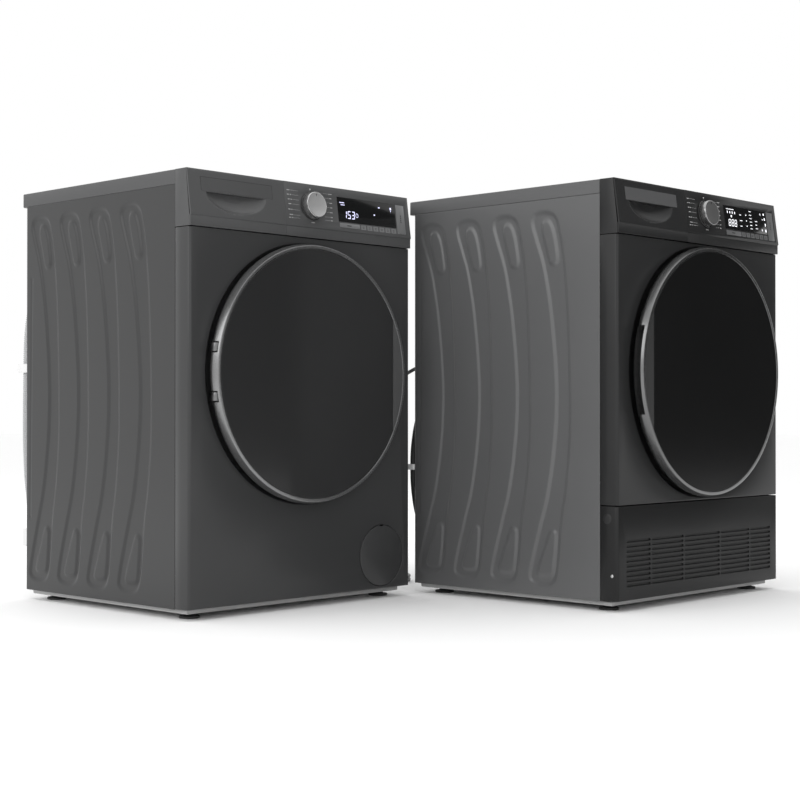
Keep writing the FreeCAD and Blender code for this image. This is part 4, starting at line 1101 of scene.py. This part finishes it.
def plinth():
    p = "dryer"
    z0, z1, rc, e = 22.0, 206.0, 6.0, 0.8
    cols = [(-267.5, -187.0), (-181.5, -70.5), (-65.0, 65.0), (70.5, 181.5), (187.0, 267.5)]
    holes = []
    for i in range(10):
        za = 48.0 + 9.6 * i
        for xa, xb in cols:
            holes.append(round_poly([(xa, za), (xb, za), (xb, za + 5.4), (xa, za + 5.4)], [0.6, 0.6, 2.0, 0.6], 3))
    outer = [(-H + rc, z0 + e), (H - rc, z0 + e), (H - rc, z1 - e), (-H + rc, z1 - e)]
    v, f = plate2d(outer, holes)
    b = Build()
    b.add([G(p, x, 0, z) for x, z in v], f)
    for hq in holes:
        zb = min(z for x, z in hq)
        # each slot's lower side slopes back and up, as a louvre blade
        front = [G(p, x, 0.0, z) for x, z in hq]
        mid = [G(p, x, 0.5, z + 0.12) for x, z in hq]
        rear = [G(p, x, 2.0, z + (1.6 if z < zb + 2.5 else 0.0)) for x, z in hq]
        b.grid([front, mid, rear], closed=True)
    for sx in (-1, 1):
        plan = [(H - rc, 0.0)] + [(H - rc + rc * math.sin(math.radians(a)), rc - rc * math.cos(math.radians(a)))
                                  for a in (15, 30, 45, 60, 75, 90)] + [(H, 24.0), (H, 41.2), (H - 0.8, 42.0),
                                                                       (H - 2, 42.0), (H - 2, 8.0), (H - 8, 2.0)]
        b.grid([[G(p, sx * x, y, z) for z in (z0 + e, z1 - e)] for x, y in plan])
        for zz, s in ((z1, 1), (z0, -1)):
            rr = []
            for x, y in plan[:9]:
                dx, dy = (e if x > H - rc + 0.5 else 0.0), (e if y < 5 else 0.0)
                rr.append([G(p, sx * x, y, zz - s * e), G(p, sx * (x - dx * 0.3), y + dy * 0.3, zz - s * e * 0.3),
                           G(p, sx * (x - dx), y + dy, zz), G(p, sx * (x - 3), max(y, 3.0), zz)])
            b.grid(rr)
    for zz, s in ((z1, 1), (z0, -1)):
        b.grid([[G(p, x, 0, zz - s * e) for x in (-H + rc, H - rc)], [G(p, x, e * 0.3, zz - s * e * 0.3) for x in (-H + rc, H - rc)],
                [G(p, x, e, zz) for x in (-H + rc, H - rc)], [G(p, x, 3.0, zz) for x in (-H + rc, H - rc)],
                [G(p, x, 3.0, zz - s * 2.5) for x in (-H + rc, H - rc)]])
    # painted shade: a black sheet behind the grille, standing in for the shade seen through its slots
    b.box(G(p, -272, 2.6, 44), G(p, 272, 3.4, 146), 1)
    ob = b.done("dryer_plinth", ("plinth_d", "black_print_and_gap_shade"), weld=2e-6, sharp=50)
    put(ob, "cabinets", src_slot("dryer_plinth_panel"), "dryer_plinth_panel")


plinth()

# ---------------------------------------------------------------- hoses and mains lead


def fair(pts, share=0.45, step=4.0):
    """Points along straight runs joined by tangent arcs, close together."""
    P = [Vector(q) for q in pts]
    out = [P[0].copy()]

    def line(a, b_):
        L = (b_ - a).length
        k = max(1, int(L / step))
        for i in range(1, k + 1):
            out.append(a.lerp(b_, i / k))
    last = P[0]
    for i in range(1, len(P) - 1):
        u, v = P[i] - P[i - 1], P[i + 1] - P[i]
        la, lb = u.length, v.length
        u.normalize(); v.normalize()
        th = u.angle(v)
        tl = share * min(la, lb)
        A, B = P[i] - u * tl, P[i] + v * tl
        line(last, A)
        if th > 1e-4:
            rr = tl / math.tan(th / 2)
            w = (v - u).normalized()
            cen = P[i] + w * (rr / math.cos(th / 2))
            k = max(2, int(rr * th / step))
            ra, rb = A - cen, B - cen
            for j in range(1, k + 1):
                t = j / k
                out.append(cen + (ra * math.sin((1 - t) * th) + rb * math.sin(t * th)) / math.sin(th))
        last = B
    line(last, P[-1])
    return out


def resample(pts, step):
    d = [0.0]
    for a, b_ in zip(pts, pts[1:]):
        d.append(d[-1] + (b_ - a).length)
    L = d[-1]
    n = max(2, int(round(L / step)))
    out = []
    k = 0
    for i in range(n + 1):
        s = L * i / n
        while k < len(d) - 2 and d[k + 1] < s:
            k += 1
        t = (s - d[k]) / max(1e-9, d[k + 1] - d[k])
        out.append(pts[k].lerp(pts[k + 1], t))
    return out, L


def pipe(name, pts, radius, segs, mat, cap=True):
    """Tube round the points; radius is a function of the share of its length."""
    n = len(pts)
    tang = []
    for i in range(n):
        t = pts[min(n - 1, i + 1)] - pts[max(0, i - 1)]
        tang.append(t.normalized())
    up = Vector((0, 1, 0))
    if abs(tang[0].dot(up)) > 0.9:
        up = Vector((1, 0, 0))
    u = tang[0].cross(up).normalized()
    rings = []
    for i in range(n):
        u = (u - tang[i] * u.dot(tang[i])).normalized()
        w = tang[i].cross(u)
        r = radius(i)
        rings.append([pts[i] + (u * math.cos(2 * math.pi * j / segs) + w * math.sin(2 * math.pi * j / segs)) * r
                      for j in range(segs)])
    return loft(name, rings, caps=cap, mats=(mat,), sharp=50)


HOSE = [(-268, 553, 146), (-270, 555, 186), (-274, 560, 250), (-276.5, 562, 330), (-277, 561, 410),
        (-276, 559, 552), (-266, 557, 620), (-236, 557, 674), (-180, 557, 704), (-60, 557, 716), (60, 557, 716),
        (170, 557, 690), (222, 557, 630), (246, 557, 550), (252, 557, 460), (250, 557, 370), (247, 557, 280)]
line = fair([G("washer", *q) for q in HOSE], step=0.004)
pts, HL = resample(line, 0.0011)
npt = len(pts)


def hose_r(i):
    s, e = i * 0.0011, (npt - 1 - i) * 0.0011
    if s < 0.018 or e < 0.045:
        return 0.0119 if (s > 0.002 and e > 0.002) else 0.0112
    return (0.0107, 0.0117, 0.0119, 0.0113)[i % 4]


hose = pipe("washer_hose", pts, hose_r, 24, "hose_light")
put(hose, "cabinets", "hose_grey", "washer_drain_hose")

COND = [(-242, 549, 456), (-246, 549, 432), (-260, 549, 404), (-278, 549.5, 360), (-288, 550, 306),
        (-288, 550, 234), (-279, 549.5, 180), (-262, 549, 136), (-252, 549, 98)]
line = fair([G("dryer", *q) for q in COND], step=0.004)
pts, CL = resample(line, 0.004)
cond = pipe("dryer_hose", pts, lambda i: 0.0065, 28, "hose_dark")
put(cond, "cabinets", "hose_black", "dryer_condensate_hose")

CORD = [(-225, 576, 492), (-226, 588, 489.5), (-229, 604, 484), (-247, 628, 466), (-276, 642, 440), (-302, 650, 402),
        (-319, 657, 354), (-327, 664, 300), (-330, 671, 246), (-331, 679, 192), (-329, 686, 138), (-322, 694, 88),
        (-308, 701, 46), (-286, 705, 18), (-258, 701, 6.0), (-228, 693.5, 4.5)]
coil = []
a0 = math.radians(-118)
step_a = math.radians(360 / 16)


def ease(f):
    return f * f * (3 - 2 * f)


# two flat turns inwards on the floor, then back out on top of them
i = 0
while True:
    t = i / 16.0
    ang = -118 + 360 * t
    if ang > 1440 - 2:
        break
    if t <= 1.0:
        r, z = 47.2, 4.5
    elif t <= 1.3:
        r, z = 47.2 - 9.2 * ease((t - 1.0) / 0.3), 4.5
    elif t <= 2.0:
        r, z = 38.0, 4.5
    elif t <= 2.35:
        r, z = 38.0, 4.5 + 8.3 * ease((t - 2.0) / 0.35)
    elif t <= 3.0:
        r, z = 38.0, 12.8
    elif t <= 3.3:
        r, z = 38.0 + 9.2 * ease((t - 3.0) / 0.3), 12.8
    else:
        r, z = 47.2, 12.8
    coil.append((-180 + r * math.cos(math.radians(ang)), 728 + r * math.sin(math.radians(ang)), z))
    i += 1
TAIL = [(-131.9, 737, 11.8), (-131.4, 746, 10.0), (-131, 754, 8.8), (-131, 762, 8.5), (-131, 768, 8.5)]
line = [G("dryer", *q) for q in CORD + coil + TAIL]
cu = bpy.data.curves.new("dryer_cord", "CURVE")
cu.dimensions = "3D"
sp = cu.splines.new("NURBS")
sp.points.add(len(line) - 1)
for q, pt in zip(line, sp.points):
    pt.co = (*q, 1.0)
sp.order_u = 3
sp.use_endpoint_u = True
sp.resolution_u = 6
cu.resolution_u = 6
cu.bevel_depth = 0.004
cu.bevel_resolution = 6
cu.use_fill_caps = True
cu.materials.append(MATS["cord_grey"])
cord = link(bpy.data.objects.new("dryer_cord", cu))
put(cord, "cabinets", src_slot("dryer_power_cord"), "dryer_power_cord", "dryer_cord_coil")


# plug: tapered boot with ribs, rounded body and two pins
PX, PY = -131.0, 758.2
boot = [(3.9, 0.0), (4.3, 0.0)]
for k_ in range(6):
    y = 1.0 + k_ * 3.1
    r = 4.3 + 2.3 * y / 20
    boot += [(r, y), (r, y + 1.9), (r - 0.7, y + 2.2), (r - 0.7, y + 2.9)]
boot += [(6.9, 20.6), (6.9, 22.0), (3.9, 22.0)]
ob = lathe("plug_boot", boot, G("dryer", PX, PY, 8.5), axis=(0, 1, 0), segs=40, mats=("plug_grey",), sharp=40)
put(ob, "cabinets", src_slot("dryer_plug"))
b = Build()
sec = round_poly([(-17, -8.1), (17, -8.1), (17, 15.3), (-17, 15.3)], 7.0, 8)
rows = []
for y, k_ in ((20.0, 0.55), (21.0, 0.68), (23.5, 0.84), (28.0, 0.95), (36.0, 1.0), (54.0, 1.0), (57.0, 0.97), (58.0, 0.9)):
    rows.append([G("dryer", PX + x * k_, PY + y, 8.5 + 3.6 + (z - 3.6) * (k_ if k_ > 0.9 else k_)) for x, z in sec])
b.grid(rows, closed=True)
b.add(rows[0], [tuple(range(len(sec)))[::-1]])
b.add(rows[-1], [tuple(range(len(sec)))])
plug = b.done("plug_body", ("plug_grey",), weld=1e-6, sharp=40)
put(plug, "cabinets", src_slot("dryer_plug"), "dryer_plug")
for i, dx in enumerate((-9.5, 9.5)):
    ob = lathe("plug_pin_%d" % i, [(0.0, 56.0), (2.4, 56.0), (2.4, 75.0), (1.6, 76.6), (0.8, 76.9), (0.0, 76.9)],
               G("dryer", PX + dx, PY, 12.0), axis=(0, 1, 0), segs=32, mats=("zinc",), pole=True, sharp=40)
    put(ob, "cabinets", src_slot("dryer_plug"))

# strain relief with ribs
pr = [(3.9, 35.0 + 2.7), (5.0, 37.7), (5.2, 37.0)]
for k_ in range(7):
    y = 33.0 - k_ * 4.2
    r = 8.4 - (8.4 - 5.4) * y / 36
    pr += [(r, y), (r, y - 2.4), (r - 0.9, y - 2.7), (r - 0.9, y - 3.9)]
pr += [(8.5, 4.2), (12.6, 4.0), (13.0, 3.6), (13.0, 0.0), (3.9, 0.0)]
ob = lathe("strain_relief", pr, G("dryer", -225, 538.3, 492), axis=(0, 1, 0), segs=48, mats=("rubber_black",), sharp=40)
put(ob, "cabinets", src_slot("dryer_strain_relief"), "dryer_strain_relief")

# ---------------------------------------------------------------- feet, trays, rear wall
for p, light in (("washer", False), ("dryer", False)):
    k_ = 0
    for sx in (-1, 1):
        for yy in (52, 488):
            pr = [(0, 0.0), (19.2, 0.0), (20.0, 0.8), (20.0, 3.6), (19.2, 4.6), (17.5, 5.0), (12.8, 5.0), (11.8, 5.6),
                  (11.2, 6.4), (9.4, 8.6), (9.2, 10.4), (0.0, 10.4)]
            ob = lathe("%s_foot_%d" % (p, k_), pr, G(p, sx * 255, yy, 0), axis=(0, 0, 1), segs=48,
                       mats=("rubber_black",), pole=True, sharp=32)
            first = p == "washer" and k_ == 0
            put(ob, "cabinets", "rubber_foot", *(("levelling_feet",) if first else ()))
            k_ += 1
refine("base_trays", "tray_light", 2.2, 3, 40)
refine("rear_panels", "galvanised", 0.7, 2, 40)
for p in ("washer", "dryer"):
    k_ = 0
    for x in (-196, -98, 0, 98, 196):
        for z in (141, 709):
            ob = lathe("%s_rear_screw_%d" % (p, k_), [(0, 0), (4.2, 0), (4.2, 0.7), (3.2, 1.9), (1.6, 2.3), (1.4, 1.6), (0, 1.6)],
                       G(p, x, 539.9, z), axis=(0, 1, 0), segs=20, mats=("zinc",), pole=True, sharp=40)
            put(ob, "cabinets", "zinc")
            k_ += 1
refine("hose_clips", "white_plastic", 0.8, 2, 40)

# ---------------------------------------------------------------- inside the washer
ga = [(164.5, 35.0), (171.0, 35.0), (173.0, 35.8), (181.0, 42.4), (183.0, 44.6), (183.0, 60.0), (182.2, 62.2), (178.0, 66.0),
      (177.0, 68.0), (177.0, 78.0), (172.0, 78.0), (172.0, 65.0), (173.0, 62.6), (177.2, 59.6), (178.0, 57.6),
      (178.0, 47.4), (177.0, 45.4), (171.2, 40.2), (169.4, 39.5), (165.3, 39.5), (164.5, 38.7)]
ob = lathe("washer_gasket", [(r, -y) for r, y in ga], G("washer", 0, 0, DOOR_Z["washer"]), segs=128, mats=("gasket",), sharp=60)
put(ob, "cabinets", src_slot("washer_door_gasket"), "washer_door_gasket")
dress("washer_tub", "tub")
refine("washer_drum", "drum_steel", 0)
refine("washer_drum_lifters", "inner_grey", 3.0, 3, 40)
refine("washer_drum_pulley", "alloy", 0.8, 2, 40)
refine("washer_motor_pulley", "alloy", 0.4, 2, 40)
refine("washer_motor", "motor", 1.6, 2, 40)
refine("washer_counterweight", "concrete", 4.0, 3, 40)
refine("washer_drive_belt", "rubber_black", 0.3, 1, 40)
refine("washer_drain_pump", "white_plastic", 0.9, 2, 40)
refine("washer_inlet_valve", "white_plastic", 0.7, 2, 40)
refine("washer_drawer_tray", "inner_grey", 1.0, 2, 40)
refine("washer_filter_flap", "front_w", 0.5, 2, 40)
# coil springs and dampers
k_ = 0
for sx in (-1, 1):
    line = []
    for i in range(0, 16 * 22 + 1):
        a = 2 * math.pi * i / 16
        z = 642 + 146 * i / (16 * 22)
        line.append(Vector(G("washer", sx * 266 + 11.0 * math.cos(a), 446 + 11.0 * math.sin(a), z)))
    ob = pipe("washer_spring_%d" % k_, line, lambda i: 0.0016, 8, "zinc")
    put(ob, "cabinets", "zinc", *(("washer_suspension",) if k_ == 0 else ()))
    for nm, r, y, za, zb, mt in (("hook", 2.4, 446, 602, 812, "zinc"), ("damper_tube", 15, 262, 24, 154, "motor"),
                                 ("damper_rod", 6, 262, 150, 240, "zinc")):
        x = sx * (266 if nm == "hook" else 215)
        ob = lathe("washer_%s_%d" % (nm, k_), [(0, 0), (r - 0.6, 0), (r, 0.6), (r, zb - za - 0.6), (r - 0.6, zb - za), (0, zb - za)],
                   G("washer", x, y, za), axis=(0, 0, 1), segs=32, mats=(mt,), pole=True, sharp=40)
        put(ob, "cabinets", "zinc")
    k_ += 1

# ---------------------------------------------------------------- inside the dryer
refine("dryer_drum", "drum_steel", 0)
refine("dryer_roller_left", "rubber_black", 1.0, 2, 40)
refine("dryer_roller_right", "rubber_black", 1.0, 2, 40)
refine("dryer_motor_blower", "motor", 1.6, 2, 40)
refine("dryer_drive_belt", "rubber_black", 0.3, 1, 40)
refine("dryer_heat_pump", "fins", 1.6, 2, 40)
refine("dryer_lint_filter", "inner_grey", 1.0, 2, 40)
refine("dryer_tank", "inner_grey", 1.2, 2, 40)

# ---------------------------------------------------------------- room
bpy.ops.mesh.primitive_plane_add(size=40, location=(0, 0, 0))
floor = bpy.context.object
floor.name = "floor"
fm = bpy.data.materials.new("floor")
fm.use_nodes = True
nt = fm.node_tree
bs = nt.nodes["Principled BSDF"]
bs.inputs["Base Color"].default_value = (0.98, 0.98, 0.98, 1)
bs.inputs["Roughness"].default_value = 0.9
bs.inputs["Specular IOR Level"].default_value = 0.1
floor.data.materials.append(fm)


def card(name, loc, aim, w_, h_, shade):
    """A matt card standing off the part, for its faces to mirror."""
    b = Build()
    b.add([(-w_ / 2, -h_ / 2, 0), (w_ / 2, -h_ / 2, 0), (w_ / 2, h_ / 2, 0), (-w_ / 2, h_ / 2, 0)], [(0, 1, 2, 3)])
    ob = b.done(name, ("black_print_and_gap_shade",))
    mt = bpy.data.materials.new(name)
    mt.use_nodes = True
    n_ = mt.node_tree.nodes["Principled BSDF"]
    n_.inputs["Base Color"].default_value = (shade, shade, shade, 1)
    n_.inputs["Roughness"].default_value = 1.0
    n_.inputs["Specular IOR Level"].default_value = 0.0
    ob.data.materials[0] = mt
    ob.location = loc
    ob.rotation_euler = (Vector(aim) - Vector(loc)).to_track_quat("-Z", "Y").to_euler()
    return ob


card("dark_card", (4.6, -4.4, 1.6), (0, 0, 0.5), 7.0, 4.4, 0.02)


def area(name, loc, aim, size, power, size_y=None, col=(1, 1, 1)):
    ld = bpy.data.lights.new(name, "AREA")
    ld.energy = power
    ld.color = col
    ld.shape = "RECTANGLE"
    ld.size = size
    ld.size_y = size_y or size
    ob = link(bpy.data.objects.new(name, ld))
    ob.location = loc
    ob.rotation_euler = (Vector(aim) - Vector(loc)).to_track_quat("-Z", "Y").to_euler()
    return ob


area("key_left", (-4.2, 0.3, 2.6), (0, 0, 0.5), 3.0, 40, 2.4)
area("front", (-2.4, -5.0, 3.0), (0, 0, 0.5), 2.4, 15, 2.0)
area("top", (0, 0, 4.2), (0, 0, 0), 5.0, 40, 5.0)
area("rear", (0.5, 4.5, 2.6), (0, 0, 0.5), 3.0, 30, 2.0)

w = bpy.data.worlds.new("world")
bpy.context.scene.world = w
w.use_nodes = True
w.node_tree.nodes["Background"].inputs["Color"].default_value = (1, 1, 1, 1)
w.node_tree.nodes["Background"].inputs["Strength"].default_value = 1.0
bpy.context.scene.view_settings.view_transform = "Standard"
